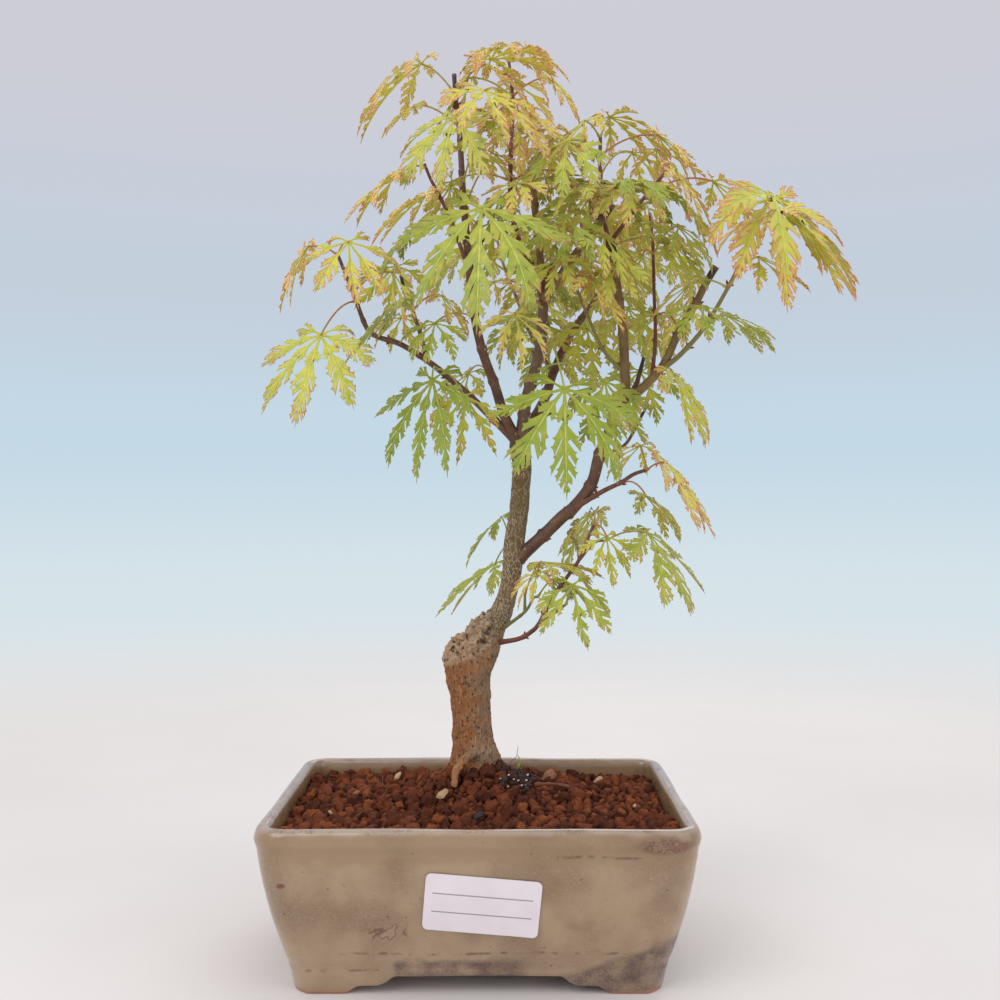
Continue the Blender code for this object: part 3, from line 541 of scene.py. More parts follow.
def soil_height(x, y):
    """Level of the bed, below the lumps that lie on it."""
    away = math.hypot(x - TRUNK_FOOT.x, y - TRUNK_FOOT.y)
    mound = MOUND_HEIGHT * math.exp(-max(0.0, away - TRUNK_RADIUS) / MOUND_RADIUS)
    wall = min(1.0, 1.2 * max(0.0, 1 - max(abs(x) / 91, abs(y) / 60)))
    uneven = 1.6 * noise.noise(Vector((x, y, 0)) / 14) + 1.3 * noise.noise(Vector((x, y, 9)) / 35)
    return SOIL_EDGE - LUMP_DEPTH + mound * wall + uneven * min(1.0, 3 * wall)


def soil_top(inset, rings=34):
    """Rings of points over the bed, from near the wall in to the trunk."""
    edge = pot_ring(SOIL_EDGE, POT_WALL + pot_inset(SOIL_EDGE) + inset, 16)
    top = []
    for k in range(rings):
        share = 1 - k / (rings - 1)
        ring = []
        for point in edge:
            near = TRUNK_FOOT + (Vector((point.x, point.y, 0)) - TRUNK_FOOT).normalized() * 5
            at = near.lerp(Vector((point.x, point.y, 0)), share)
            ring.append(Vector((at.x, at.y, soil_height(at.x, at.y))))
        top.append(ring)
    return top


def make_soil_bed():
    bm = bmesh.new()
    rings = [pot_ring(z, POT_WALL + pot_inset(z) + WALL_GAP, 16) for z in (SOIL_BOTTOM, 30, 45, 58)]
    bridge(bm, [[bm.verts.new(p) for p in ring] for ring in rings + soil_top(WALL_GAP)])
    bmesh.ops.recalc_face_normals(bm, faces=bm.faces[:])
    return bm


def soil_material(name, light, dark, grain):
    made, place, shader = new_material(name)
    tint, patch, rub = place.attribute("tint"), place.blotches(2.6, 4), place.blotches(grain, 4)
    base = (tint + patch * 0.5).step(0.1, 0.95).pick(dark, light)
    base = (tint.math("FRACT", tint * 7.3).step(0.7, 0.95) * 0.6).pick(base, paint(152, 84, 44))
    base = (rub.step(0.05, 0.3) * 0.35).pick(base, paint(150, 96, 72))
    base = (rub.step(-0.08, -0.3) * 0.6).pick(base, paint(58, 30, 22))
    set_shader(shader, Base_Color=base, Roughness=0.95, relief=rub * 0.5 + patch * 0.4)
    set_shader(shader, Specular_IOR_Level=0.25)
    return made


def new_tree(name, **inputs):
    """An empty Geometry Nodes tree with these inputs, given by name and kind, and a Wire from each."""
    tree = bpy.data.node_groups.new(name, "GeometryNodeTree")
    for label, kind in inputs.items():
        tree.interface.new_socket(label, in_out="INPUT", socket_type="NodeSocket" + kind)
    tree.interface.new_socket("Result", in_out="OUTPUT", socket_type="NodeSocketGeometry")
    given = tree.nodes.new("NodeGroupInput")
    return tree, [Wire(tree, given.outputs[i]) for i in range(len(inputs))]


def end_tree(tree, geometry, finish):
    """Gives the geometry its material and makes it the tree's result."""
    inputs = {"Geometry": geometry, "Material": finish}
    last = geometry.node("GeometryNodeSetMaterial", {}, inputs)
    tree.links.new(last.socket, tree.nodes.new("NodeGroupOutput").inputs[0])
    return tree


def lump_tree():
    """Geometry Nodes: lumps of random size and turn, scattered over a surface and made knobbly."""
    tree, given = new_tree("scattered_lumps", Surface="Geometry", Spacing="Float", Radius="Float",
                           Knobbly="Float", Facets="Int", Seed="Int", Finish="Material")
    surface, spacing, radius, knobbly, facets, seed, finish = given
    start = Wire(tree)
    points = start.node("GeometryNodeDistributePointsOnFaces", {"distribute_method": "POISSON"},
                        {"Mesh": surface, "Distance Min": spacing, "Density Max": 4e6, "Seed": seed})
    ball = start.node("GeometryNodeMeshIcoSphere", {}, {"Radius": radius, "Subdivisions": facets})
    vector, single = {"data_type": "FLOAT_VECTOR"}, {"data_type": "FLOAT"}
    turn = start.node("FunctionNodeRandomValue", vector, {1: (6.28, 6.28, 6.28), "Seed": seed})
    size = start.node("FunctionNodeRandomValue", vector,
                      {0: (0.55, 0.55, 0.5), 1: (1.45, 1.3, 1.1), "Seed": seed + 1})
    lumps = start.node("GeometryNodeInstanceOnPoints", {},
                       {"Points": points, "Instance": ball, "Rotation": turn, "Scale": size})
    tint = start.node("FunctionNodeRandomValue", single, {2: 0.0, 3: 1.0, "Seed": seed + 2}, 1)
    marked = start.node("GeometryNodeStoreNamedAttribute", {**single, "domain": "INSTANCE"},
                        {"Geometry": lumps, "Name": "tint", "Value": tint})
    real = start.node("GeometryNodeRealizeInstances", {}, {"Geometry": marked})
    position = start.node("GeometryNodeInputPosition")
    rough = start.node("ShaderNodeTexNoise", {}, {"Vector": position, "Scale": 380.0, "Detail": 4.0}, 1)
    centred = start.node("ShaderNodeVectorMath", {"operation": "SUBTRACT"}, {0: rough, 1: (0.5, 0.5, 0.5)})
    push = start.node("ShaderNodeVectorMath", {"operation": "SCALE"}, {0: centred, "Scale": knobbly})
    moved = start.node("GeometryNodeSetPosition", {}, {"Geometry": real, "Offset": push})
    return end_tree(tree, moved, finish)


def grown(name, surface, tree, **inputs):
    """What a Geometry Nodes tree makes on a surface object, as a plain mesh object; the surface goes."""
    modifier = surface.modifiers.new(name, "NODES")
    modifier.node_group = tree
    for item in tree.interface.items_tree:
        if item.in_out == "INPUT" and item.name in inputs:
            modifier[item.identifier] = inputs[item.name]
    bpy.context.view_layer.update()
    result = surface.evaluated_get(bpy.context.evaluated_depsgraph_get())
    mesh = bpy.data.meshes.new_from_object(result)
    mesh.name = name
    mesh.shade_smooth()
    made = bpy.data.objects.new(name, mesh)
    bpy.context.scene.collection.objects.link(made)
    bpy.data.meshes.remove(surface.data)
    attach(made, "root")
    return made


def scatter_surface(keep, lift):
    """The bed's top where keep says yes at a face's middle, moved up by lift."""
    bm = bmesh.new()
    rings = [[bm.verts.new(p + Vector((0, 0, lift))) for p in ring] for ring in soil_top(2.6)]
    bridge(bm, rings, caps=False)
    bmesh.ops.recalc_face_normals(bm, faces=bm.faces[:])
    away = [face for face in bm.faces if not keep(face.calc_center_median())]
    bmesh.ops.delete(bm, geom=away, context="FACES")
    return add_mesh("scatter_surface", bm, red_clay)


red_clay = soil_material("red_clay_lumps", paint(120, 62, 36), paint(80, 40, 25), 0.5)
# The bed is the lumps' red clay at about half their brightness, painted as the shade in the gaps.
shaded_clay_bed = soil_material("red_clay_bed_painted_shade", paint(60, 30, 20), paint(36, 18, 12), 0.9)
add_piece("soil_bed", make_soil_bed(), "soil", shaded_clay_bed, "soil")
lumps = lump_tree()


def coarse_part(at):
    return noise.noise(Vector((at.x, at.y, 3)) / 24) > -0.16 and not (at.x > 48 and at.y > -25)


for name, keep, lift, spacing, radius, facets, seed in (
    ("soil_grit", lambda at: True, 0.2, 2.3, 1.3, 2, 3),
    ("soil_lumps_fine", lambda at: True, 1.2, 4.2, 2.3, 2, 7),
    ("soil_lumps_coarse", coarse_part, 2.2, 7.4, 3.7, 3, 11),
):
    made = grown(name, scatter_surface(keep, lift), lumps, Spacing=spacing * MM, Radius=radius * MM,
                 Knobbly=radius * 1.7 * MM, Facets=facets, Seed=seed, Finish=red_clay)


# --- Trunk -------------------------------------------------------------------------------------
# An old maple stump, sawn off and half healed over with a jagged roll of callus, and the stem that
# grew from its right-hand side. Living wood: one skin over both, with the bark's pits and ridges.

RIM = POT_HEIGHT
BARK_VOXEL = 0.5
# Points of the middle lines of the stump and the stem, with z counted from the rim, and the radius.
STUMP = [(-3, 22, -14, 13.5), (-3, 22, -2, 14.2), (-3, 22, 4, 13.6), (-3, 22, 10, 12.4),
         (-4.5, 22, 21, 10.6), (-5, 22, 34, 9.9), (-6, 22, 49, 11.2), (-6.4, 22, 58, 12.3),
         (-6.6, 22, 63, 12.0), (-5.5, 22, 67, 8.6)]
STEM = [(-3, 22, 50, 7.0), (-1, 22, 61, 8.6), (1, 22, 68, 8.7), (5, 22, 75, 6.9), (10, 22, 83, 5.7),
        (14, 21, 95, 4.8), (16, 20, 108, 5.1), (17, 20, 121, 5.3), (19, 20, 133, 5.0), (20, 20, 145, 4.8),
        (21, 20, 158, 4.7), (20, 20, 168, 5.4), (20, 20, 174, 4.6)]
# Rolls and knobs of callus round the healed cut: place and radius.
CALLUS = [(-14, 19, 61, 3.0), (-12.4, 15, 63, 3.2), (-10, 13, 65.5, 3.0), (-7, 13.5, 67.5, 3.2),
          (-3, 14, 70, 3.4), (-12, 24, 65, 4.2), (-6, 24, 69, 4.4), (-0.5, 22, 76, 4.6), (0.5, 15, 75, 3.4),
          (2.8, 15, 78.8, 2.7), (3.5, 21, 80, 4.2), (-9.6, 14.5, 72.6, 1.5), (-8.8, 15.5, 71, 1.8),
          (-2, 28, 73, 5.0), (-11, 29, 66, 5.0)]
CALLUS_HORN = [(-4.5, 17, 71, 3.2), (-4, 15.5, 75, 2.2), (-3.6, 15, 78, 1.5), (-3.9, 15, 80.5, 0.9)]
# Surface roots: points of the middle line of each, and its radius there.
ROOTS = [[(-2, 15, 14, 2.4), (-4, 9, 15, 2.2), (-7, 6, 14, 2.1), (-10, 4, 11, 2.0), (-12, 3, 7, 1.9),
          (-13, 2, 0, 1.8)],
         [(-10, 19, 6, 4.0), (-15, 16, 0, 3.2), (-22, 12, -8, 2.4)],
         [(4, 17, 6, 4.0), (9, 13, 0, 3.2), (14, 8, -8, 2.4)],
         [(-9, 26, 7, 4.2), (-16, 30, 0, 3.4), (-26, 36, -8, 2.4)],
         [(5, 27, 7, 4.2), (12, 33, 0, 3.2), (18, 40, -8, 2.4)]]


def spline(points, gap):
    """Points about gap apart on a smooth curve through the given ones, which may be 4 wide."""
    given = [Vector(p) for p in points]
    ends = [given[0] * 2 - given[1]] + given + [given[-1] * 2 - given[-2]]
    smooth = []
    for a, b, c, d in zip(ends, ends[1:], ends[2:], ends[3:]):
        cuts = max(1, round((c - b).length / gap))
        for k in range(cuts):
            t = k / cuts
            smooth.append(0.5 * (2 * b + (c - a) * t + (2 * a - 5 * b + 4 * c - d) * t**2
                                 + (3 * b - a - 3 * c + d) * t**3))
    return smooth + [given[-1]]


def tube(bm, points, radii, sides):
    """A closed tube along points, with a radius at each. Returns its rings of vertices."""
    rings, across = [], None
    for i, point in enumerate(points):
        along = (points[min(i + 1, len(points) - 1)] - points[max(i - 1, 0)]).normalized()
        across = across or along.orthogonal()
        across = (across - along * across.dot(along)).normalized()
        other = along.cross(across)
        turns = [math.tau * k / sides for k in range(sides)]
        outward = [across * math.cos(a) + other * math.sin(a) for a in turns]
        rings.append([bm.verts.new(point + way * radii[i]) for way in outward])
    bridge(bm, rings)
    return rings


def tapered_tube(bm, rows, sides, gap=2.0):
    """A tube along rows of x, y, z and radius, with z counted from the pot's rim."""
    smooth = spline(rows, gap)
    tube(bm, [Vector((p[0], p[1], p[2] + RIM)) for p in smooth], [p[3] for p in smooth], sides)


def ridged(at, size):
    return 1 - 2 * abs(noise.noise(at / size))


def make_trunk():
    bm = bmesh.new()
    tapered_tube(bm, STUMP, 48)
    tapered_tube(bm, STEM, 32)
    for x, y, z, radius in CALLUS:
        ball = bmesh.ops.create_icosphere(bm, subdivisions=3, radius=radius)
        bmesh.ops.translate(bm, vec=(x, y, z + RIM), verts=ball["verts"])
    tapered_tube(bm, CALLUS_HORN, 12, 1)
    for rows in ROOTS:
        tapered_tube(bm, rows, 16)
    bm = modified(bm, "REMESH", mode="VOXEL", voxel_size=BARK_VOXEL)
    relax(bm, 3)
    for vert in bm.verts:
        at = vert.co.copy()
        height = at.z - RIM
        turn = math.atan2(at.y - 22, at.x + 5)
        tall = Vector((at.x, at.y, at.z * 0.3))
        push = 0.55 * noise.noise(tall / 1.5) + 0.3 * noise.noise(at / 1.1) + 0.9 * noise.noise(at / 9)
        if height < 64 and at.x < 14:
            push += 0.4 * ridged(Vector((at.x, at.y, at.z * 0.22)), 2.2) - 0.2
            push += 0.5 * math.exp(-max(0.0, height) / 7) * math.cos(5 * turn + 0.8)
        elif height > 84:
            push *= 0.55
        heal = min(1.0, max(0.0, (height - 61 - 0.35 * (at.x + 6)) / 3)) * min(1.0, max(0.0, (8 - at.x) / 4))
        heal *= min(1.0, max(0.0, (92 - height) / 8))
        if heal:
            push += heal * (1.5 * ridged(at, 4.0) - 0.9 + 1.1 * ridged(at + Vector((40, 0, 0)), 1.8))
            push -= heal * 7.0 * max(0.0, noise.noise(at / 3.3 + Vector((7, 7, 7))) - 0.24)
        vert.co += vert.normal * push
    return bm


def bark_material():
    made, place, shader = new_material("trunk_bark")
    x, y, z = place.axis("X"), place.axis("Y"), place.axis("Z")
    height = z - RIM
    broad, cloud, fibre = place.blotches(16, 4), place.blotches(4, 4), place.blotches(0.95, 4, (1, 1, 0.3))
    grain = place.blotches(0.5, 3)
    # Stump: red-brown on the left, greyer to the right and behind, pale where old bark flaked off.
    rust = (cloud * 1.2 + broad * 0.7 + 0.5).pick(paint(178, 116, 68), paint(136, 90, 60))
    grey = (cloud * 1.4 + 0.5).pick(paint(174, 140, 110), paint(128, 98, 76))
    base = ((x + 3 + broad * 34 + cloud * 22) * 0.06 + 0.5).step(0.05, 0.95).pick(rust, grey)
    base = ((broad * 3 + x * 0.03).step(0.25, 0.7) * (cloud + 0.4) * 0.8).pick(base, paint(186, 166, 144))
    base = (fibre.step(0.03, 0.22) * 0.7).pick(base, paint(196, 160, 122))
    base = (fibre.step(-0.05, -0.24) * 0.75).pick(base, paint(84, 54, 38))
    pit = place.cells(1.7, (1, 1, 0.6)).step(0.3, 0.16)
    base = (pit * cloud.step(-0.15, 0.05) * 0.85).pick(base, paint(58, 38, 28))
    # Stem: olive-brown, closely set with pale upright lenticels, thicker lower down.
    tick = place.cells(0.8, (1, 1, 0.5)).step(0.62, 0.4)
    dense = tick * ((height * -0.006 + 1.45) + broad * 1.6 + cloud).step(0.25, 0.8)
    olive = (broad + 0.5).pick(paint(130, 112, 68), paint(112, 88, 62))
    olive = (dense * 0.8).pick(olive, paint(182, 162, 140))
    olive = (height.step(158, 168) * 0.7).pick(olive, paint(104, 80, 68))
    on_stem = (x * 0.55 + height + cloud * 12 + broad * 8).step(74, 84)
    base = on_stem.pick(base, olive)
    # Callus: pale pinkish grey ridges with black cracks.
    heal = (height - x * 0.35 - 2).step(60, 64) * (x + cloud * 6).step(7.5, 3.5) * height.step(90, 83)
    healed = (cloud * 2 + 0.5).pick(paint(226, 202, 172), paint(168, 130, 96))
    healed = (place.blotches(3.0, 4).step(0.06, 0.15) * 0.95).pick(healed, paint(40, 27, 18))
    base = (heal * (cloud * 2 + 0.75)).pick(base, healed)
    # Damp, dirty and red where the roots meet the soil.
    base = ((height + cloud * 14).step(9, 0) * 0.8).pick(base, paint(104, 64, 44))
    root = (y + 22).step(34, 24) * height.step(16, 8) * (x + 5).step(3, -2)
    base = (root * 0.8).pick(base, paint(196, 140, 92))
    relief = fibre * 0.8 + grain * 0.5 + tick * on_stem * 0.12 - pit * 0.3
    set_shader(shader, Base_Color=base, Roughness=grain * 0.15 + 0.82, relief=relief, Specular_IOR_Level=0.3)
    return made


add_piece("trunk", make_trunk(), "bark", bark_material(), "tree")


# --- Bits on the soil --------------------------------------------------------------------------
# What lies between the lumps: pale wood chips, a pinkish stone, a strip of bark, a clump of dark
# peat with white specks that the tree came in, a green sprout, and hair-thin dead roots.

# Kind, place, half its length, breadth and thickness, and its turn.
CHIPS = [("chip", -44, 35, 3.0, 1.5, 1.2, 70), ("chip", -18, -6, 3.2, 2.2, 1.5, 40),
         ("stone", 35, 35, 3.6, 3.0, 3.2, 20), ("chip", 61, 33, 2.4, 1.5, 1.2, 10),
         ("grain", 0, -28, 2.6, 1.9, 1.6, 15), ("chip", -70, -20, 1.4, 0.8, 0.6, 130),
         ("chip", 74, -12, 1.2, 0.8, 0.6, 60), ("stone", -62, 10, 2.0, 1.6, 1.4, 0)]
# Radius and the points of the middle line, with z counted from the bed.
HAIRS = [(0.13, [(14, 24, 3), (15, 24, 9), (18, 24, 13), (19, 23, 19)]),
         (0.13, [(-52, 38, 6), (-50, 20, 7), (-46, 0, 7), (-52, -20, 7), (-59, -40, 6)]),
         (0.12, [(-16, 12, 3), (-18, 10, 7), (-19, 9, 9)])]
BARK_STRIP = [(27, 4, 77), (32, 3, 77.6), (38, 3, 77.4), (44, 1, 76.6)]
SPROUT = [(19, 23, 81), (20, 22, 84.5), (18.4, 21.5, 88)]
PEAT_GRAINS = 150


def add_grain(bm, x, y, above, half, turn, tint):
    """A knobbly grain on the soil, with half sizes along its own axes and a tint mark."""
    mark = bm.verts.layers.float.get("tint") or bm.verts.layers.float.new("tint")
    made = bmesh.ops.create_icosphere(bm, subdivisions=2, radius=1)["verts"]
    cosine, sine = math.cos(math.radians(turn)), math.sin(math.radians(turn))
    for vert in made:
        at = vert.co * (1 + 0.5 * noise.noise(vert.co * 1.3 + Vector((x, y, 0))))
        u, v, w = at.x * half[0], at.y * half[1], at.z * half[2]
        level = soil_height(x, y) + above + w + 0.35 * u
        vert.co = (x + u * cosine - v * sine, y + u * sine + v * cosine, level)
        vert[mark] = tint


def soil_bits():
    """Chips and stones, peat with its specks, and threads, as three bmeshes."""
    chips, peat, threads = bmesh.new(), bmesh.new(), bmesh.new()
    for kind, x, y, *half, turn in CHIPS:
        add_grain(chips, x, y, 5.2, half, turn, {"chip": 0.0, "stone": 0.5, "grain": 1.0}[kind])
    draw = random.Random(4)
    for _ in range(PEAT_GRAINS):
        x, y = 15 + draw.gauss(0, 5), 18 + draw.gauss(0, 8)
        size = draw.uniform(0.7, 2.0)
        white = draw.random() < 0.16
        half = [size * share * (0.32 if white else 1) for share in (1.1, 0.9, 0.8)]
        add_grain(peat, x, y, draw.uniform(3.4, 5.4) + (0.8 if white else 0), half, 0, 1.0 if white else 0.0)
    for radius, points in HAIRS:
        line = spline([(x, y, soil_height(x, y) + above) for x, y, above in points], 1.5)
        tube(threads, line, [radius] * len(line), 5)
    strip = spline(BARK_STRIP, 1.5)
    tube(threads, strip, [1.0 + 0.6 * noise.noise(at / 2) for at in strip], 8)
    return chips, peat, threads


def make_sprout():
    bm = bmesh.new()
    blade = spline(SPROUT, 0.8)
    tube(bm, blade, [0.55 * (1 - 0.8 * k / len(blade)) for k in range(len(blade))], 6)
    return bm


def bit_material(name, *shades):
    """One shade, or three for tint marks of 0, a half and 1."""
    made, place, shader = new_material(name)
    tint, cloud = place.attribute("tint"), place.blotches(1.2, 4)
    base = tint.ramp(*zip((0.0, 0.5, 1.0), shades * 3 if len(shades) == 1 else shades))
    base = (cloud.step(0.0, 0.25) * 0.4).pick(base, paint(104, 60, 38))
    set_shader(shader, Base_Color=base, Roughness=cloud * 0.2 + 0.8, relief=cloud * 0.4)
    return made


chips, peat, threads = soil_bits()
wood_chip = bit_material("wood_chip", paint(188, 152, 112), paint(150, 104, 76), paint(48, 44, 46))
dark_peat = bit_material("peat", paint(42, 22, 15), paint(80, 60, 50), paint(236, 230, 222))
add_piece("wood_chips", chips, "soil", wood_chip)
add_piece("old_peat", peat, "soil", dark_peat)
add_piece("dead_roots", threads, "soil", bit_material("dead_root", paint(118, 66, 42)))
add_piece("sprout", make_sprout(), "leaf_half", bit_material("sprout_green", paint(178, 196, 70)))


# --- Limbs and twigs ---------------------------------------------------------------------------
# The wood of the last few years: dark purple-brown limbs and red or green shoots, swollen at each
# joint, where a pair of buds sits. Those that were pruned end in a dry, dark tip.

# Name, radius at the start and the end, shade, pruned tip, and the points of its middle line, with z
# counted from the rim. The shade is 0 for brown wood, 1 for purple-brown, 2 for a red shoot, 3 for a
# green one and 4 for an olive limb.
TWIGS = [
    ("left_limb", 2.6, 1.0, 1, 0, [
        (19, 20, 170), (8, 17, 181), (-8, 13, 196), (-24, 8, 209), (-39, 2, 218),
        (-50, -3, 221), (-55, -6, 225), (-61, -10, 241), (-68, -13, 259)]),
    ("left_spur", 1.4, 1.1, 1, 1, [
        (-27, 7, 211), (-29, 9, 221), (-34, 11, 236), (-38, 12, 246), (-40, 12, 254)]),
    ("left_leader", 3.4, 1.4, 1, 1, [
        (19, 20, 171), (12, 15, 184), (7, 9, 199), (1, 3, 215), (-3, -2, 233), (-5, -4, 253),
        (-8, -4, 286), (-10, 0, 320), (-12, 2, 338), (-13, 4, 352)]),
    ("left_leader_twig", 1.3, 0.9, 2, 0, [
        (-5, -4, 252), (-13, -12, 273), (-19, -16, 286), (-23, -18, 293), (-26, -20, 300)]),
    ("leader", 4.2, 3.4, 0, 0, [(20, 20, 170), (23, 14, 192), (27, 8, 206), (30, 2, 220), (31, -4, 242)]),
    ("leader_top", 2.6, 2.2, 4, 1, [(31, -4, 239), (29, -2, 264), (27, 0, 283), (26, 2, 302)]),
    ("crown_shoot", 2.1, 0.9, 2, 0, [
        (31, -4, 239), (27, -8, 249), (20, -12, 262), (15, -14, 282), (15, -10, 311),
        (16, -6, 330), (15, -4, 348), (14, -4, 355)]),
    ("leader_stub", 1.6, 1.0, 1, 1, [(31, -4, 240), (35, -2, 257)]),
    ("right_leader", 3.0, 2.7, 4, 1, [
        (31, -4, 239), (42, -12, 253), (49, -18, 262), (56, -24, 271), (61, -30, 278)]),
    ("rear_limb", 3.6, 1.3, 1, 0, [
        (20, 21, 171), (32, 32, 192), (38, 40, 209), (47, 48, 229), (61, 56, 250), (75, 62, 268),
        (83, 66, 277)]),
    ("rear_twig_left", 1.6, 0.9, 3, 0, [
        (38, 40, 208), (28, 54, 228), (20, 64, 250), (12, 70, 272), (8, 72, 288)]),
    ("rear_twig_right", 1.5, 0.9, 2, 0, [(61, 56, 249), (60, 68, 272), (56, 74, 292), (54, 76, 306)]),
    ("back_twig", 1.2, 0.8, 3, 0, [(16, 21, 108), (16, 34, 113), (15, 44, 119)]),
    ("right_limb", 3.7, 3.0, 1, 0, [
        (19, 20, 112), (31, 17, 123), (41, 14, 133), (46, 12, 137), (55, 8, 149), (59, 4, 164),
        (63, 0, 174), (68, -4, 188), (73, -7, 194)]),
    ("right_low", 1.9, 1.1, 2, 0, [
        (45, 12, 136), (51, 8, 140), (61, 4, 146), (69, 0, 150), (75, -3, 154), (81, -5, 156)]),
    ("right_riser", 3.2, 2.6, 4, 1, [
        (71, -6, 191), (70, -8, 199), (69, -10, 220), (66, -12, 242), (64, -12, 259), (62, -12, 267)]),
    ("red_shoot", 1.6, 1.1, 2, 0, [(62, -12, 262), (59, -12, 282), (58, -10, 299), (58, -10, 316)]),
    ("red_twig", 1.4, 1.0, 2, 0, [(62, -12, 264), (75, -16, 281), (86, -19, 294), (89, -20, 298)]),
    ("green_shoot", 1.3, 0.9, 3, 0, [(70, -8, 202), (59, -14, 213), (51, -18, 229), (44, -22, 245)]),
    ("right_arm", 2.9, 2.2, 4, 1, [
        (72, -6, 191), (78, -8, 195), (88, -10, 206), (95, -12, 221), (103, -14, 235), (108, -16, 245),
        (112, -18, 252)]),
    ("thin_riser", 1.2, 0.9, 2, 0, [(83, -9, 201), (85, -6, 220), (85, -2, 244), (85, 2, 268), (84, 5, 283)]),
    ("far_shoot", 1.6, 1.0, 3, 0, [
        (87, -10, 204), (95, -14, 210), (104, -20, 220), (110, -27, 230), (116, -33, 242), (121, -38, 254)]),
    ("right_stub", 1.6, 1.1, 1, 1, [(73, -7, 193), (76, -5, 198), (80, -2, 211)]),
    ("dead_twig", 1.2, 0.9, 1, 1, [(57, 5, 158), (65, 8, 165), (73, 10, 170), (81, 12, 184), (84, 12, 190)]),
    ("low_shoot", 1.9, 1.2, 2, 0, [
        (9, 20, 69), (19, 11, 72), (25, 6, 76), (29, 1, 81), (36, -4, 95), (42, -7, 104), (48, -9, 113),
        (53, -12, 126), (55, -13, 130)]),
    ("low_green", 1.0, 0.8, 3, 0, [(29, 1, 81), (36, -9, 87), (41, -17, 92)]),
    ("low_right", 1.0, 0.8, 2, 0, [(48, -9, 113), (55, -12, 121), (60, -14, 122)]),
    ("low_left", 1.0, 0.8, 3, 0, [(48, -9, 113), (47, -3, 120), (45, 3, 123)]),
    ("thin_shoot", 1.3, 0.8, 3, 0, [(11, 20, 76), (22, 6, 86), (26, 2, 93), (28, 0, 94)]),
    ("thin_up", 0.9, 0.8, 3, 0, [(22, 6, 86), (22, 4, 95)]),
]
# How uneven each shade of limb is, and its two colours: brown, purple-brown, red, green and olive.
LIMB_SHADES = [(1.6, paint(122, 98, 72), paint(92, 62, 52)), (2.0, paint(122, 88, 62), paint(84, 50, 44)),
               (1.5, paint(136, 82, 58), paint(100, 56, 48)), (1.0, paint(128, 134, 70), paint(130, 104, 66)),
               (2.0, paint(140, 116, 62), paint(106, 72, 46))]
JOINT_SPACING = 17.0
BUD_LENGTH = 1.9
# The bark of these limbs lies inside the thicker solid that stands for them.
SLIM = {"left_limb": 0.82, "left_leader": 0.8, "leader": 0.74, "leader_top": 0.76, "right_leader": 0.8,
        "rear_limb": 0.84, "right_limb": 0.9, "right_riser": 0.76, "right_arm": 0.76, "low_shoot": 0.66}


def twig_radii(start, end, points):
    lengths = [0.0]
    for a, b in zip(points, points[1:]):
        lengths.append(lengths[-1] + (b - a).length)
    return [start + (end - start) * length / lengths[-1] for length in lengths]


def make_limbs():
    """All limbs and twigs in one bmesh, and the seats of their buds as (place, facing)."""
    bm = bmesh.new()
    shade_mark, dry_mark = bm.verts.layers.float.new("shade"), bm.verts.layers.float.new("dry")
    seats = []
    draw = random.Random(21)
    for name, start, end, shade, pruned, drawn in TWIGS:
        points = spline([(x, y, z + RIM) for x, y, z in drawn], 1.1)
        radii = [radius * SLIM.get(name, 0.78) for radius in twig_radii(start, end, points)]
        total = sum((b - a).length for a, b in zip(points, points[1:]))
        spacing = total / max(1, round(total / JOINT_SPACING))
        gone = 0.0
        for i, point in enumerate(points):
            gone += (point - points[i - 1]).length if i else 0.0
            to_joint = abs((gone / spacing + 0.5) % 1 - 0.5) * spacing
            joint = math.exp(-((to_joint / 1.1) ** 2)) if 4 < gone < total - 4 else 0.0
            collar = 0.35 * math.exp(-gone / 3.5)
            wander = 0.04 * noise.noise(point / 6)
            tip = 0.12 * math.exp(-(((total - gone) / 1.5) ** 2)) if pruned else 0.0
            radii[i] *= 1 + 0.22 * joint + collar + wander + tip
            passed = i and (gone // spacing) > ((gone - 1.4) // spacing) and 6 < gone < total - 5
            if passed and (not seats or (seats[-1][0] - point).length > 4):
                along = (points[i] - points[i - 1]).normalized()
                across = along.cross(Vector((draw.uniform(-1, 1), draw.uniform(-1, 1), 0.2))).normalized()
                for side in (-1, 1):
                    facing = (along * 1.1 + across * side).normalized()
                    seats.append((point + across * side * radii[i] * 0.9, facing))
        rings = tube(bm, points, radii, 12 if start > 1.6 else 8)
        for i, ring in enumerate(rings):
            dry = max(0.0, 1 - (len(rings) - i) / 11) if pruned else 0.0
            for vert in ring:
                vert[shade_mark] = shade
                vert[dry_mark] = dry
    bmesh.ops.recalc_face_normals(bm, faces=bm.faces[:])
    return bm, seats


def limb_material():
    made, place, shader = new_material("limb_bark")
    shade, dry = place.attribute("shade"), place.attribute("dry")
    cloud, fibre = place.blotches(7, 4), place.blotches(1.0, 3, (1, 1, 0.4))
    base = None
    for number, (uneven, light, dark) in enumerate(LIMB_SHADES):
        colour = (cloud * uneven + 0.5).pick(light, dark)
        base = shade.step(number - 0.9, number - 0.1).pick(base, colour) if base else colour
    spot = place.cells(3.0, (1, 1, 0.5)).step(0.16, 0.09)
    base = (spot * shade.step(2.2, 1.6) * 0.8).pick(base, paint(196, 168, 140))
    base = (fibre.step(0.08, 0.3) * 0.3).pick(base, paint(160, 136, 120))
    base = (dry.step(0.02, 0.4) * 0.9).pick(base, paint(58, 42, 40))
    base = (dry.step(0.72, 0.98) * 0.8).pick(base, paint(150, 122, 112))
    set_shader(shader, Base_Color=base, Roughness=cloud * 0.2 + 0.55, relief=fibre * 0.12 + spot * 0.1)
    return made


def bud_material():
    made, place, shader = new_material("buds")
    scale = place.blotches(0.7, 3)
    base = (scale + 0.5).pick(paint(140, 74, 56), paint(86, 44, 40))
    set_shader(shader, Base_Color=base, Roughness=scale * 0.2 + 0.5, relief=scale * 0.1)
    return made


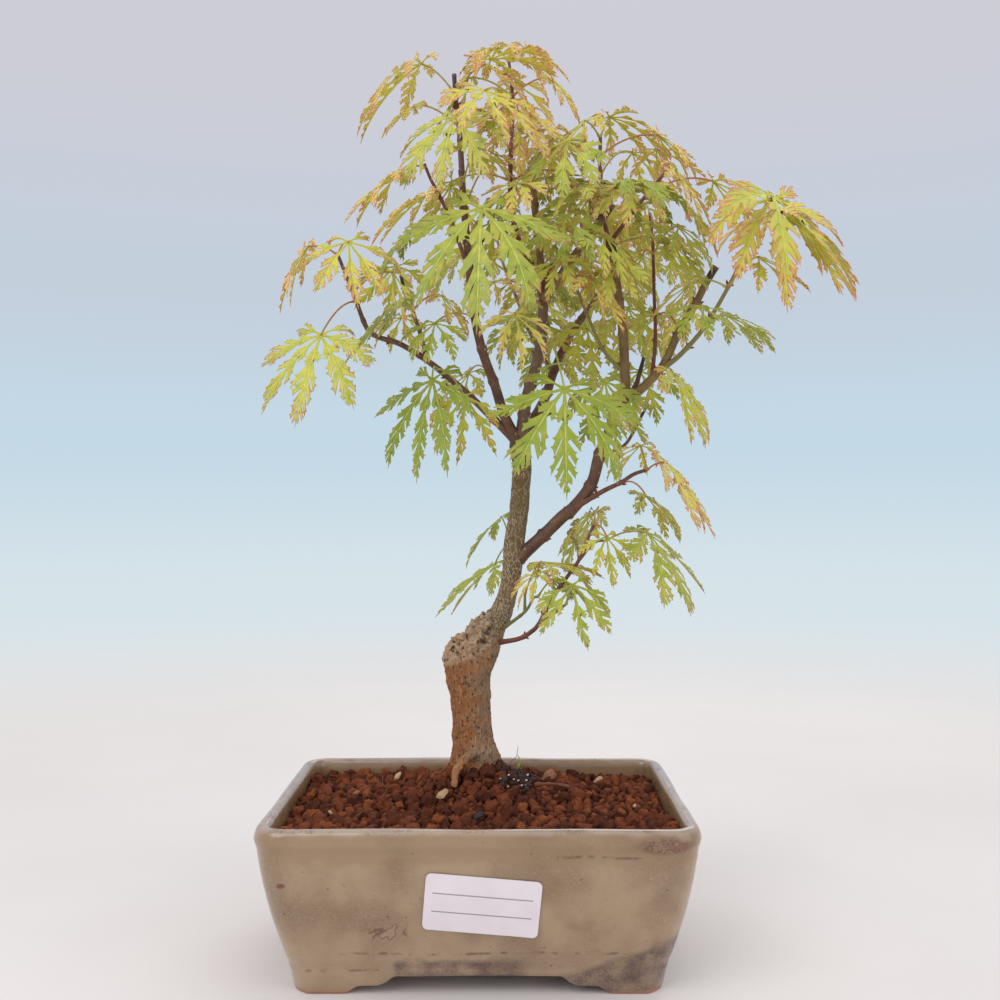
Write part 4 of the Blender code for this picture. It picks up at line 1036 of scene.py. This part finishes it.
def bud_tree():
    """Geometry Nodes: a pointed bud on each point, facing the way its facing attribute says."""
    tree, given = new_tree("buds_on_joints", Seats="Geometry", Length="Float", Seed="Int", Finish="Material")
    seats, length, seed, finish = given
    start = Wire(tree)
    cone = start.node("GeometryNodeMeshCone", {}, {
        "Vertices": 7, "Side Segments": 4, "Radius Top": length * 0.06, "Radius Bottom": length * 0.36,
        "Depth": length})
    position = start.node("GeometryNodeInputPosition")
    up = start.node("ShaderNodeSeparateXYZ", {}, {"Vector": position}, 2)
    share = up.node("ShaderNodeMath", {"operation": "DIVIDE"}, {0: up, 1: length})
    belly = share * (1 - share) * 2.4 + 0.55
    flat = start.node("ShaderNodeCombineXYZ", {}, {0: belly, 1: belly, 2: 1.0})
    shaped = start.node("ShaderNodeVectorMath", {"operation": "MULTIPLY"}, {0: position, 1: flat})
    bud = start.node("GeometryNodeSetPosition", {}, {"Geometry": cone, "Position": shaped})
    facing = start.node("GeometryNodeInputNamedAttribute", {"data_type": "FLOAT_VECTOR"}, {"Name": "facing"})
    turned = start.node("FunctionNodeAlignRotationToVector", {"axis": "Z"}, {"Vector": facing})
    size = start.node("FunctionNodeRandomValue", {"data_type": "FLOAT"}, {2: 0.6, 3: 1.2, "Seed": seed}, 1)
    placed = start.node("GeometryNodeInstanceOnPoints", {},
                        {"Points": seats, "Instance": bud, "Rotation": turned, "Scale": size})
    real = start.node("GeometryNodeRealizeInstances", {}, {"Geometry": placed})
    return end_tree(tree, real, finish)


limb_mesh, bud_seats = make_limbs()
add_piece("limbs", limb_mesh, "bark", limb_material())
seat_mesh = bpy.data.meshes.new("bud_seats")
seat_mesh.from_pydata([to_frame(*place) for place, _ in bud_seats], [], [])
facings = seat_mesh.attributes.new("facing", "FLOAT_VECTOR", "POINT")
facings.data.foreach_set("vector", [c for _, facing in bud_seats for c in facing])
seat_object = bpy.data.objects.new("bud_seats", seat_mesh)
bpy.context.scene.collection.objects.link(seat_object)
buds = grown("buds", seat_object, bud_tree(), Length=BUD_LENGTH * MM, Seed=5, Finish=bud_material())


# --- Leaves ------------------------------------------------------------------------------------
# Young maple leaves: seven long lobes, each cut into toothed side lobes, hanging from a thread-thin
# stalk. The grown ones are green, and the newest are yellow with pink edges and crimson tips.

# The twig, how far along it the stalk starts, the stalk's compass heading, rise and length, the
# blade's own heading and dip below level, its longest lobe, and its age (0 grown, 1 half, 2 new).
LEAVES = [
    ("left_leader", 0.95, 195, 35, 19, 190, 30, 52, 2),
    ("left_leader", 0.95, -35, 20, 21, -20, 35, 36, 2),
    ("crown_shoot", 1.00, 200, 40, 9, 200, 25, 24, 2),
    ("crown_shoot", 1.00, -30, 25, 9, -10, 25, 28, 2),
    ("crown_shoot", 0.92, -110, -25, 27, -25, 10, 36, 1),
    ("crown_shoot", 0.92, 85, 20, 28, 60, 30, 34, 1),
    ("crown_shoot", 0.79, -100, -15, 40, -60, 55, 40, 1),
    ("crown_shoot", 0.63, -135, 10, 35, -115, 55, 48, 0),
    ("crown_shoot", 0.63, 25, 30, 22, 10, 35, 34, 2),
    ("crown_shoot", 0.38, -110, -15, 40, -100, 62, 60, 0),
    ("left_leader_twig", 0.97, -140, -20, 16, 195, 35, 36, 1),
    ("left_leader_twig", 0.75, -90, -20, 23, 200, 30, 36, 2),
    ("left_leader_twig", 0.59, 135, -10, 19, 200, 40, 36, 0),
    ("leader", 0.92, -110, -15, 39, -70, 55, 30, 2),
    ("leader", 0.76, -80, -35, 54, -85, 62, 54, 0),
    ("leader", 0.52, -50, -5, 45, -55, 65, 40, 0),
    ("right_riser", 0.96, -25, -15, 28, -50, 62, 30, 0),
    ("far_shoot", 1.00, -60, 50, 27, -48, 45, 66, 1),
    ("far_shoot", 0.32, 15, 35, 18, 5, 20, 32, 0),
    ("far_shoot", 0.53, 100, 15, 32, 130, 35, 30, 1),
    ("right_arm", 0.27, -80, -15, 19, -30, 55, 40, 1),
    ("right_arm", 0.27, 100, 5, 28, 100, 45, 36, 0),
    ("right_low", 1.00, -55, 10, 14, -20, 50, 44, 1),
    ("right_low", 0.70, 55, -15, 24, 10, 35, 34, 0),
    ("low_right", 1.00, -5, 10, 20, -30, 45, 48, 0),
    ("low_green", 1.00, -70, 50, 12, -80, 60, 32, 0),
    ("low_shoot", 1.00, -75, -20, 15, -70, 65, 24, 0),
    ("low_shoot", 1.00, 85, 15, 20, 150, 40, 30, 0),
    ("low_left", 1.00, 105, 40, 25, 190, 40, 32, 0),
    ("thin_up", 1.00, -50, 30, 20, 10, 25, 34, 0),
    ("back_twig", 1.00, 105, 35, 23, 180, 40, 34, 0),
    ("back_twig", 0.95, 120, -35, 18, 190, 30, 44, 0),
    ("left_limb", 0.83, -115, -40, 30, -105, 60, 50, 0),
    ("left_limb", 1.00, 205, 15, 14, 190, 50, 34, 2),
    ("left_limb", 1.00, -65, 5, 17, -80, 65, 34, 1),
    ("left_limb", 0.86, 40, 60, 25, 30, 40, 32, 1),
    ("left_limb", 0.67, -55, 25, 28, 200, 40, 40, 0),
    ("left_spur", 1.00, 110, 25, 21, 120, 40, 34, 1),
    ("left_limb", 0.43, -90, -25, 20, -130, 70, 54, 0),
    ("left_limb", 0.43, -70, -25, 29, -90, 72, 34, 1),
    ("left_leader", 0.21, 110, 5, 30, 150, 45, 34, 0),
    ("leader_top", 0.95, -85, -30, 23, 10, 10, 34, 0),
    ("red_shoot", 1.00, -155, 35, 12, 190, 30, 32, 2),
    ("red_shoot", 1.00, -20, 55, 10, 10, 22, 38, 2),
    ("red_shoot", 0.79, -115, 0, 31, -100, 60, 34, 0),
    ("red_twig", 1.00, -85, -20, 15, -30, 55, 34, 2),
    ("right_leader", 1.00, -80, 10, 12, -10, 15, 42, 0),
    ("thin_riser", 1.00, 90, 25, 26, 110, 40, 32, 1),
    ("rear_limb", 1.00, 40, 20, 20, 40, 35, 44, 1),
    ("rear_twig_left", 1.00, 120, 25, 18, 130, 35, 42, 0),
    ("rear_twig_right", 1.00, 70, 35, 16, 80, 30, 44, 1),
    ("rear_twig_left", 0.60, 60, 15, 22, 80, 40, 38, 0),
]
# More leaves of the same kind, mostly small or half hidden.
SMALL_LEAVES = [
    ("crown_shoot", 0.79, -85, -20, 26, -85, 65, 36, 2),
    ("leader", 0.93, -125, 5, 38, -120, 40, 20, 2),
    ("right_low", 1.00, 160, 75, 11, 120, 30, 26, 2),
    ("thin_shoot", 1.00, 45, 30, 16, 20, 30, 28, 0),
    ("thin_up", 1.00, -75, 30, 22, 215, 40, 20, 1),
    ("left_leader", 0.36, -130, -15, 26, -95, 50, 26, 0),
    ("leader_top", 0.95, 100, 5, 17, 150, 20, 26, 1),
    ("red_shoot", 0.68, 55, 30, 36, 30, 25, 34, 2),
    ("red_twig", 1.00, 100, 40, 21, 40, 25, 30, 2),
    ("right_leader", 1.00, -150, 15, 13, 195, 15, 32, 0),
    ("right_leader", 0.82, -135, -5, 22, -100, 55, 32, 0),
    ("red_twig", 0.52, 15, 5, 23, -20, 50, 32, 1),
    ("thin_riser", 1.00, -95, -25, 21, -60, 45, 28, 0),
    ("green_shoot", 1.00, -115, 25, 15, -120, 45, 30, 0),
    ("green_shoot", 1.00, -65, -10, 16, -30, 50, 30, 1),
    ("left_leader", 0.64, -25, 55, 22, 10, 15, 30, 2),
    ("far_shoot", 1.00, -62, 48, 25, -80, 58, 56, 1),
    ("far_shoot", 1.00, -62, 40, 22, -150, 20, 34, 2),
]
# Pairs of small leaves at the joints of the crown: the twig, the shares of its length where they
# sit, the heading of the first pair, their longest lobe, and their age.
LEAF_PAIRS = [
    ("crown_shoot", (0.34, 0.5, 0.7, 0.86), -80, 30, 1), ("left_leader", (0.7, 0.86), -60, 28, 1),
    ("leader_top", (0.4, 0.8), -100, 30, 0), ("leader_stub", (0.9,), -60, 26, 1),
    ("right_leader", (0.6,), -80, 30, 0), ("right_riser", (0.75,), -100, 30, 0),
    ("red_shoot", (0.45, 0.85), -90, 30, 1), ("red_twig", (0.3, 0.7), -100, 30, 1),
    ("thin_riser", (0.75,), -80, 28, 0), ("rear_limb", (0.5, 0.68, 0.84), 120, 40, 0),
    ("rear_twig_left", (0.35, 0.8), 100, 34, 0), ("rear_twig_right", (0.4, 0.75), 80, 34, 1),
    ("left_spur", (0.6,), 120, 26, 1), ("right_arm", (0.55,), 90, 30, 0), ("far_shoot", (0.75,), 120, 28, 1),
]
# Lobes of a leaf: angle from the middle lobe, and length and width as shares of the middle lobe's.
HALF_LOBES = [(38, 0.95, 1.0), (78, 0.74, 0.9), (128, 0.34, 0.6)]
LOBES = [(-angle, *shares) for angle, *shares in reversed(HALF_LOBES)] + [(0, 1.0, 1.0)] + HALF_LOBES
HUB_SHARE = 0.035
DROOP = 0.55
STALK_GAP = 0.5
STALK_ARCH = 0.12
STALK_RADIUS = 0.45
BLADE_THICKNESS = 0.25
LOBE_REACH = (0.168, 0.16, 0.13)
AGE_SLOTS = ("leaf_grown", "leaf_half", "leaf_new")
# Name, deep and light green, edge and tip colours, and how far the blush spreads, at each age.
LEAF_COLOURS = [
    ("grown_leaf", paint(138, 152, 44), paint(204, 198, 78), paint(170, 120, 80), paint(164, 88, 74), 0.25),
    ("half_grown_leaf", paint(178, 182, 58), paint(222, 210, 90), paint(206, 136, 98), paint(190, 84, 76),
     0.4),
    ("new_leaf", paint(206, 200, 86), paint(226, 208, 108), paint(216, 150, 110), paint(196, 84, 80), 0.45),
]
# What each vertex is marked with: 1 at the cut margin, how far out along the lobe, 1 on the stalk,
# and the whole leaf's own tone.
LEAF_MARKS = ("margin", "ahead", "stalked", "tone")


def direction(heading, rise):
    heading, rise = math.radians(heading), math.radians(rise)
    return Vector((math.cos(rise) * math.cos(heading), math.cos(rise) * math.sin(heading), math.sin(rise)))


def place_on(points, radii, share):
    """The point, radius, direction and length still to go at a share of a twig's length."""
    lengths = [(b - a).length for a, b in zip(points, points[1:])]
    left = share * sum(lengths)
    for i, length in enumerate(lengths):
        if left <= length or i == len(lengths) - 1:
            part = min(1.0, left / length)
            radius = radii[i] + (radii[i + 1] - radii[i]) * part
            along = (points[i + 1] - points[i]).normalized()
            return points[i].lerp(points[i + 1], part), radius, along, (1 - share) * sum(lengths)
        left -= length


def leaf_frame(row, turn, lift):
    """The middle of the twig at a leaf's joint, the stalk's two ends, and the blade's own axes."""
    twig, share, heading, rise, stalk, blade_heading, dip = row[:7]
    point, radius, along, to_go = place_on(*wood[twig], share)
    way = direction(heading + turn, rise + lift)
    slant = way.dot(along)
    sideways = (radius + STALK_GAP) / max(0.05, math.sqrt(max(0.0, 1 - slant * slant)))
    over_end = (to_go + STALK_GAP) / slant if slant > 0.05 else sideways
    start = point + way * min(sideways, over_end)
    forward = direction(blade_heading + turn, lift - dip)
    side = Vector((0, 0, 1)).cross(forward).normalized()
    return point, start, start + way * stalk, forward, side


def lobe_line(palm, out, across, length, steps, sway=0.0, curl=0.0):
    """Points and cross directions along a lobe, which droops more and more as it goes out."""
    points, sides, point = [palm], [across], palm
    for k in range(steps):
        reach = (k + 0.5) / steps
        weight = (DROOP + curl * reach) * reach
        way = out * (1 - weight) + Vector((0, 0, -1)) * weight + across * (sway * reach)
        way.normalize()
        point = point + way * (length / steps)
        points.append(point)
        sides.append((across - way * across.dot(way)).normalized())
    return points, sides


def lobe_axes(forward, side, angle):
    cosine, sine = math.cos(math.radians(angle)), math.sin(math.radians(angle))
    return forward * cosine + side * sine, side * cosine - forward * sine


def settled(number, row):
    """The turn and lift that the CAD leaf took to clear its neighbours, found from its box."""
    low, high = ((Vector(corner) - POT_MIDDLE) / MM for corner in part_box(f"leaf_{number:02d}"))
    best = None
    for turn in range(-72, 73, 8):
        for lift in range(-32, 33, 8):
            _, start, palm, forward, side = leaf_frame(row, turn, lift)
            ends = [start, palm]
            for angle, share, _ in LOBES:
                ends.append(lobe_line(palm, *lobe_axes(forward, side, angle), row[7] * share, 3)[0][-1])
            miss = sum(abs(min(e[i] for e in ends) - low[i]) + abs(max(e[i] for e in ends) - high[i])
                       for i in range(3))
            if best is None or miss < best[0]:
                best = (miss, turn, lift)
    return best[1:]


def lobe_sheet(bm, marks, hub, first, last, line, length, reach, cuts, draw, age):
    """One lobe: a strip along its midrib, and a row of toothed side lobes down either side."""
    points, sides = line
    margin, ahead = marks
    fold = math.radians(draw.uniform(8, 20) + 8 * age)
    sag = draw.uniform(0.01, 0.035)
    twist = math.radians(draw.uniform(-28, 28))

    def put(u, v, edge):
        """A vertex u along the lobe and v across it."""
        share = max(0.0, min(0.9999, u / length)) * (len(points) - 1)
        i = int(share)
        part = share - i
        at = points[i].lerp(points[i + 1], part)
        across = sides[i].lerp(sides[i + 1], part).normalized()
        along = (points[i + 1] - points[i]).normalized()
        up = along.cross(across).normalized()
        cosine, sine = math.cos(twist * u / length), math.sin(twist * u / length)
        across, up = across * cosine + up * sine, up * cosine - across * sine
        at += along * max(0.0, u - length)
        ripple = 0.25 * math.sin(u * 1.7 + (3 if v > 0 else 0)) * min(1.0, abs(v) / 3)
        rise = abs(v) * math.sin(fold) - sag * v * v + ripple
        vert = bm.verts.new(at + across * (v * math.cos(fold)) + up * rise)
        vert[margin], vert[ahead] = edge, min(1.0, u / length)
        return vert

    def half_width(t):
        grow = (t / 0.46) ** 1.1 if t < 0.46 else (1 - (t - 0.46) / 0.6) ** 1.15
        return reach * max(0.0, grow)

    def strip(t):
        """Half the width of the uncut strip along the midrib."""
        return max(0.25, (0.012 + 0.07 * t * (1 - t)) * min(length, reach * 7) * (1 - 0.7 * t))

    bare = 0.16 if cuts > 4 else 0.3
    stations = [bare + (0.93 - bare) * (1 - (1 - k / cuts) ** 1.3) for k in range(cuts + 1)]
    ribs = [put(t * length, 0, 0) for t in stations]
    tip = put(length, 0, 1)
    for sign, root in ((1, first), (-1, last)):
        notches = []
        for t in stations:
            shift = draw.uniform(-0.012, 0.012) + 0.014 * sign
            notches.append(put((t + shift) * length, sign * strip(t), 0.7))
        bm.faces.new((hub, root, notches[0], ribs[0]))
        bm.faces.new((ribs[-1], notches[-1], tip))
        for k, (t, following) in enumerate(zip(stations, stations[1:])):
            u, v = (t + following) / 2 * length, strip((t + following) / 2)
            angle = math.radians(draw.uniform(28, 42) - 8 * t)
            spread = max(0.5, (half_width((t + following) / 2) - v) * draw.uniform(0.72, 1.18))
            long = min(spread / math.sin(angle), 0.45 * length)
            half = (following - t) * length * math.sin(angle) * 0.5
            out_u, out_v = math.cos(angle), math.sin(angle)
            bow = draw.uniform(0.02, 0.2)

            def at(along, off, edge):
                """A vertex on this side lobe; off is across it, towards the lobe's tip."""
                a, b = along * long, off * half + bow * long * along * along
                return put(u + a * out_u + b * out_v, sign * (v + a * out_v - b * out_u), edge)

            root_rib = at(0, 0, 0.25)
            back, front, middle = notches[k], notches[k + 1], root_rib
            bm.faces.new((ribs[k], back, root_rib))
            bm.faces.new((ribs[k], root_rib, ribs[k + 1]))
            bm.faces.new((ribs[k + 1], root_rib, front))
            for along, wide in ((0.34, 0.86), (0.66, 0.62)):
                rib = at(along, 0, 0.35)
                new_back, new_front = at(along, -wide, 0.95), at(along, wide * 0.72, 0.95)
                bm.faces.new((middle, back, new_back, rib))
                bm.faces.new((middle, rib, new_front, front))
                if long > 4.2:
                    tooth = at(along + 0.12, -wide - 0.5, 1)
                    past = at(along + 0.15, -wide * 0.72, 0.95)
                    bm.faces.new((new_back, tooth, past))
                    bm.faces.new((rib, new_back, past))
                    new_back = past
                back, front, middle = new_back, new_front, rib
            point = at(1.0, 0.15, 1)
            bm.faces.new((middle, back, point))
            bm.faces.new((middle, point, front))


def thicken(bm, depth, marks=()):
    """Closes a sheet into a thin solid, depth deep below its upper side."""
    bm.normal_update()
    lower = {}
    edges = [edge for edge in bm.edges if edge.is_boundary]
    sheet = bm.faces[:]
    for vert in bm.verts[:]:
        below = bm.verts.new(vert.co - vert.normal * depth)
        for mark in marks:
            below[mark] = vert[mark]
        lower[vert] = below
    for edge in edges:
        loop = edge.link_loops[0]
        a, b = loop.vert, loop.link_loop_next.vert
        bm.faces.new((b, a, lower[a], lower[b]))
    for face in sheet:
        bm.faces.new([lower[vert] for vert in reversed(face.verts)])


def marked_mesh():
    """An empty bmesh with the leaf marks."""
    bm = bmesh.new()
    for mark in LEAF_MARKS:
        bm.verts.layers.float.new(mark)
    return bm


def add_leaf(target, row, turn, lift, seed):
    """Adds a leaf's blade and stalk to the target bmesh, which holds the leaf marks."""
    draw = random.Random(seed)
    size, age = row[7], row[8]
    joint, start, palm, forward, side = leaf_frame(row, turn, lift)
    up = forward.cross(side)
    bm = marked_mesh()
    marks = margin, ahead, stalked, tone = [bm.verts.layers.float[name] for name in LEAF_MARKS]
    angles = [math.radians(lobe[0]) for lobe in LOBES]
    outer = (angles[-1] + math.pi) / 2
    gaps = [-outer] + [(a + b) / 2 for a, b in zip(angles, angles[1:])] + [outer]
    hub = bm.verts.new(palm - up * 0.4)
    reach = size * HUB_SHARE
    ring = [bm.verts.new(palm + (forward * math.cos(g) + side * math.sin(g)) * reach) for g in gaps]
    for vert in ring:
        vert[margin] = 0.6
    bm.faces.new((hub, ring[0], ring[-1]))
    for index, (angle, share, wide) in enumerate(LOBES):
        length = size * share * draw.uniform(0.94, 1.05)
        swung = angle + draw.uniform(-4, 4)
        sway, curl = draw.uniform(-0.22, 0.22), draw.uniform(-0.3, 0.35)
        line = lobe_line(palm, *lobe_axes(forward, side, swung), length, 16, sway, curl)
        widest = size * LOBE_REACH[age] * wide * draw.uniform(0.88, 1.1) * (0.8 if row[6] > 66 else 1)
        cuts = 3 if share < 0.5 else (4 if size < 36 else 5 if size < 46 else 6)
        lobe_sheet(bm, (margin, ahead), hub, ring[index + 1], ring[index], line, length, widest, cuts,
                   draw, age)
    bmesh.ops.recalc_face_normals(bm, faces=bm.faces[:])
    if sum(face.normal.dot(up) for face in bm.faces) < 0:
        bmesh.ops.reverse_faces(bm, faces=bm.faces[:])
    thicken(bm, BLADE_THICKNESS, marks)
    blade = len(bm.verts)
    arch = Vector((0, 0, STALK_ARCH * row[4]))
    shares = [k / 9 for k in range(10)]
    path = [start.lerp(palm, s) + arch * 4 * s * (1 - s) for s in shares]
    tube(bm, [joint] + path, [0.9, 0.75] + [STALK_RADIUS] * 8 + [STALK_RADIUS * 1.15], 7)
    bm.verts.ensure_lookup_table()
    shade = draw.random() * (0.3 if size >= 54 and age == 0 else 1.0)
    for vert in bm.verts[blade:]:
        vert[stalked] = 1.0
    for vert in bm.verts:
        vert[tone] = shade
    bmesh.ops.recalc_face_normals(bm, faces=bm.faces[:])
    piece = bpy.data.meshes.new("leaf")
    bm.to_mesh(piece)
    bm.free()
    target.from_mesh(piece)
    bpy.data.meshes.remove(piece)


def leaf_material(name, deep, light, edge, tip, blush):
    """Leaf tissue from deep to light by its tone, blushing to the edge colour and then the tip's."""
    made, place, shader = new_material(name)
    margin, ahead, stalked, tone = (place.attribute(mark) for mark in LEAF_MARKS)
    cloud, fine = place.blotches(5, 3), place.blotches(0.8, 3)
    base = (tone * 0.75 + cloud * 1.1 + 0.12).step(0.0, 1.0).pick(deep, light)
    base = ((ahead + cloud * 0.8).step(0.5, 0.0) * 0.25).pick(base, light)
    base = (margin.step(0.14, 0.0) * 0.6).pick(base, paint(206, 212, 112))
    rosy = (margin * 0.8 + ahead * 0.45 + cloud * 1.1 + tone * 0.25).step(1.2 - blush, 1.6 - blush)
    base = (rosy * 0.85).pick(base, edge)
    crimson = (ahead + margin * 0.3 + cloud * 0.5).step(1.2 - blush * 0.3, 1.32)
    base = (crimson * 0.8).pick(base, tip)
    base = ((fine + cloud).step(0.1, 0.6) * 0.2).pick(base, paint(224, 226, 132))
    base = ((fine - cloud).step(0.1, 0.5) * 0.3).pick(base, paint(112, 116, 34))
    stem = (tone + cloud).step(0.2, 0.9).pick(paint(172, 172, 84), paint(190, 124, 88))
    base = stalked.step(0.4, 0.6).pick(base, stem)
    relief = fine * 0.2 + margin.step(0.35, 0.0) * -0.25 + cloud * 0.3
    set_shader(shader, Base_Color=base, Roughness=fine * 0.15 + 0.45, relief=relief)
    set_shader(shader, Subsurface_Weight=0.3, Subsurface_Scale=0.001, Subsurface_Radius=(0.9, 1.0, 0.3))
    return made


def paired_rows():
    """Rows like those of SMALL_LEAVES for the pairs, one leaf on either side of its joint."""
    draw = random.Random(8)
    rows = []
    for twig, shares, heading, size, age in LEAF_PAIRS:
        for place, share in enumerate(shares):
            for side in (0, 180):
                way = heading + side + 80 * place + draw.uniform(-15, 15)
                stalk, grown_to = draw.uniform(16, 28), size * draw.uniform(0.8, 1.1)
                rows.append((twig, share, way, draw.uniform(-5, 25), stalk, way + draw.uniform(-25, 25),
                             draw.uniform(30, 60), grown_to, age))
    return rows


wood = {}
for name, start, end, *_, drawn in TWIGS:
    line = [Vector((x, y, z + RIM)) for x, y, z in drawn]
    wood[name] = (line, twig_radii(start, end, line))
leaf_finishes = [leaf_material(*row) for row in LEAF_COLOURS]
for number, row in enumerate(LEAVES, 1):
    leaf, age = marked_mesh(), row[8]
    add_leaf(leaf, row, *settled(number, row), seed=number)
    add_piece(f"maple_leaf_{number:02d}", leaf, AGE_SLOTS[age], leaf_finishes[age], f"leaf_{number:02d}",
              sharp_above=75)
small_rows = SMALL_LEAVES + paired_rows()
for age, slot in enumerate(AGE_SLOTS):
    leaves = marked_mesh()
    for number, row in enumerate(small_rows):
        if row[8] == age:
            add_leaf(leaves, row, 0, 0, seed=100 + number)
    add_piece("small_" + slot.replace("leaf", "leaves"), leaves, slot, leaf_finishes[age], sharp_above=75)


# --- Stock label -------------------------------------------------------------------------------
# A glossy paper sticker with rounded corners, pressed on by hand at a slight tilt. It is blank
# apart from two thin ruled lines, and one corner has begun to lift.

LABEL_SIZE = (50.0, 26.0)
LABEL_CENTRE = (2.0, 43.0)
LABEL_TILT = -5.0
LABEL_CORNER = 2.5
PAPER = 0.18


def make_label():
    bm = bmesh.new()
    uv = bm.loops.layers.uv.new("label")
    across, up = 40, 22
    half_w, half_h = LABEL_SIZE[0] / 2, LABEL_SIZE[1] / 2
    cosine, sine = math.cos(math.radians(LABEL_TILT)), math.sin(math.radians(LABEL_TILT))
    spots, grid = {}, []
    for j in range(up + 1):
        v = half_h * math.sin(math.pi * (j / up - 0.5))
        into_corner = max(0.0, abs(v) - half_h + LABEL_CORNER)
        cut = LABEL_CORNER - math.sqrt(max(0.0, LABEL_CORNER**2 - into_corner**2))
        row = []
        for i in range(across + 1):
            u = (half_w - cut) * (2 * i / across - 1)
            x = LABEL_CENTRE[0] + u * cosine - v * sine
            z = LABEL_CENTRE[1] + u * sine + v * cosine
            lift = 0.75 + 0.5 * math.exp(-(((half_w - u) / 5) ** 2) - ((half_h + v) / 5) ** 2)
            vert = bm.verts.new((x, pot_inset(z) - POT_DEPTH / 2 - lift, z))
            spots[vert] = (i / across, v / half_h / 2 + 0.5)
            row.append(vert)
        grid.append(row)
    for low, high in zip(grid, grid[1:]):
        for i in range(across):
            face = bm.faces.new((low[i], low[i + 1], high[i + 1], high[i]))
            for loop in face.loops:
                loop[uv].uv = spots[loop.vert]
    thicken(bm, PAPER)
    return bm


def label_material():
    made, place, shader = new_material("label_paper")
    spot = place.node("ShaderNodeUVMap", {"uv_map": "label"})
    u, v = (spot.node("ShaderNodeSeparateXYZ", {}, {"Vector": spot}, i) for i in range(2))
    base = (place.blotches(12) + 0.5).pick(paint(242, 233, 236), paint(230, 217, 221))
    ruled = u.inside(0.07, 0.93, 0.004)
    for level in (0.34, 0.66):
        line = abs(v - level).step(0.014, 0.008)
        base = (ruled * line * 0.75).pick(base, paint(120, 114, 118))
    relief = place.blotches(0.6, 2) * 0.01 + place.blotches(9, 2) * 0.05
    set_shader(shader, Base_Color=base, Roughness=place.blotches(1.2, 2) * 0.12 + 0.32, relief=relief)
    return made


add_piece("stock_label", make_label(), "label", label_material(), "label", sharp_above=30)
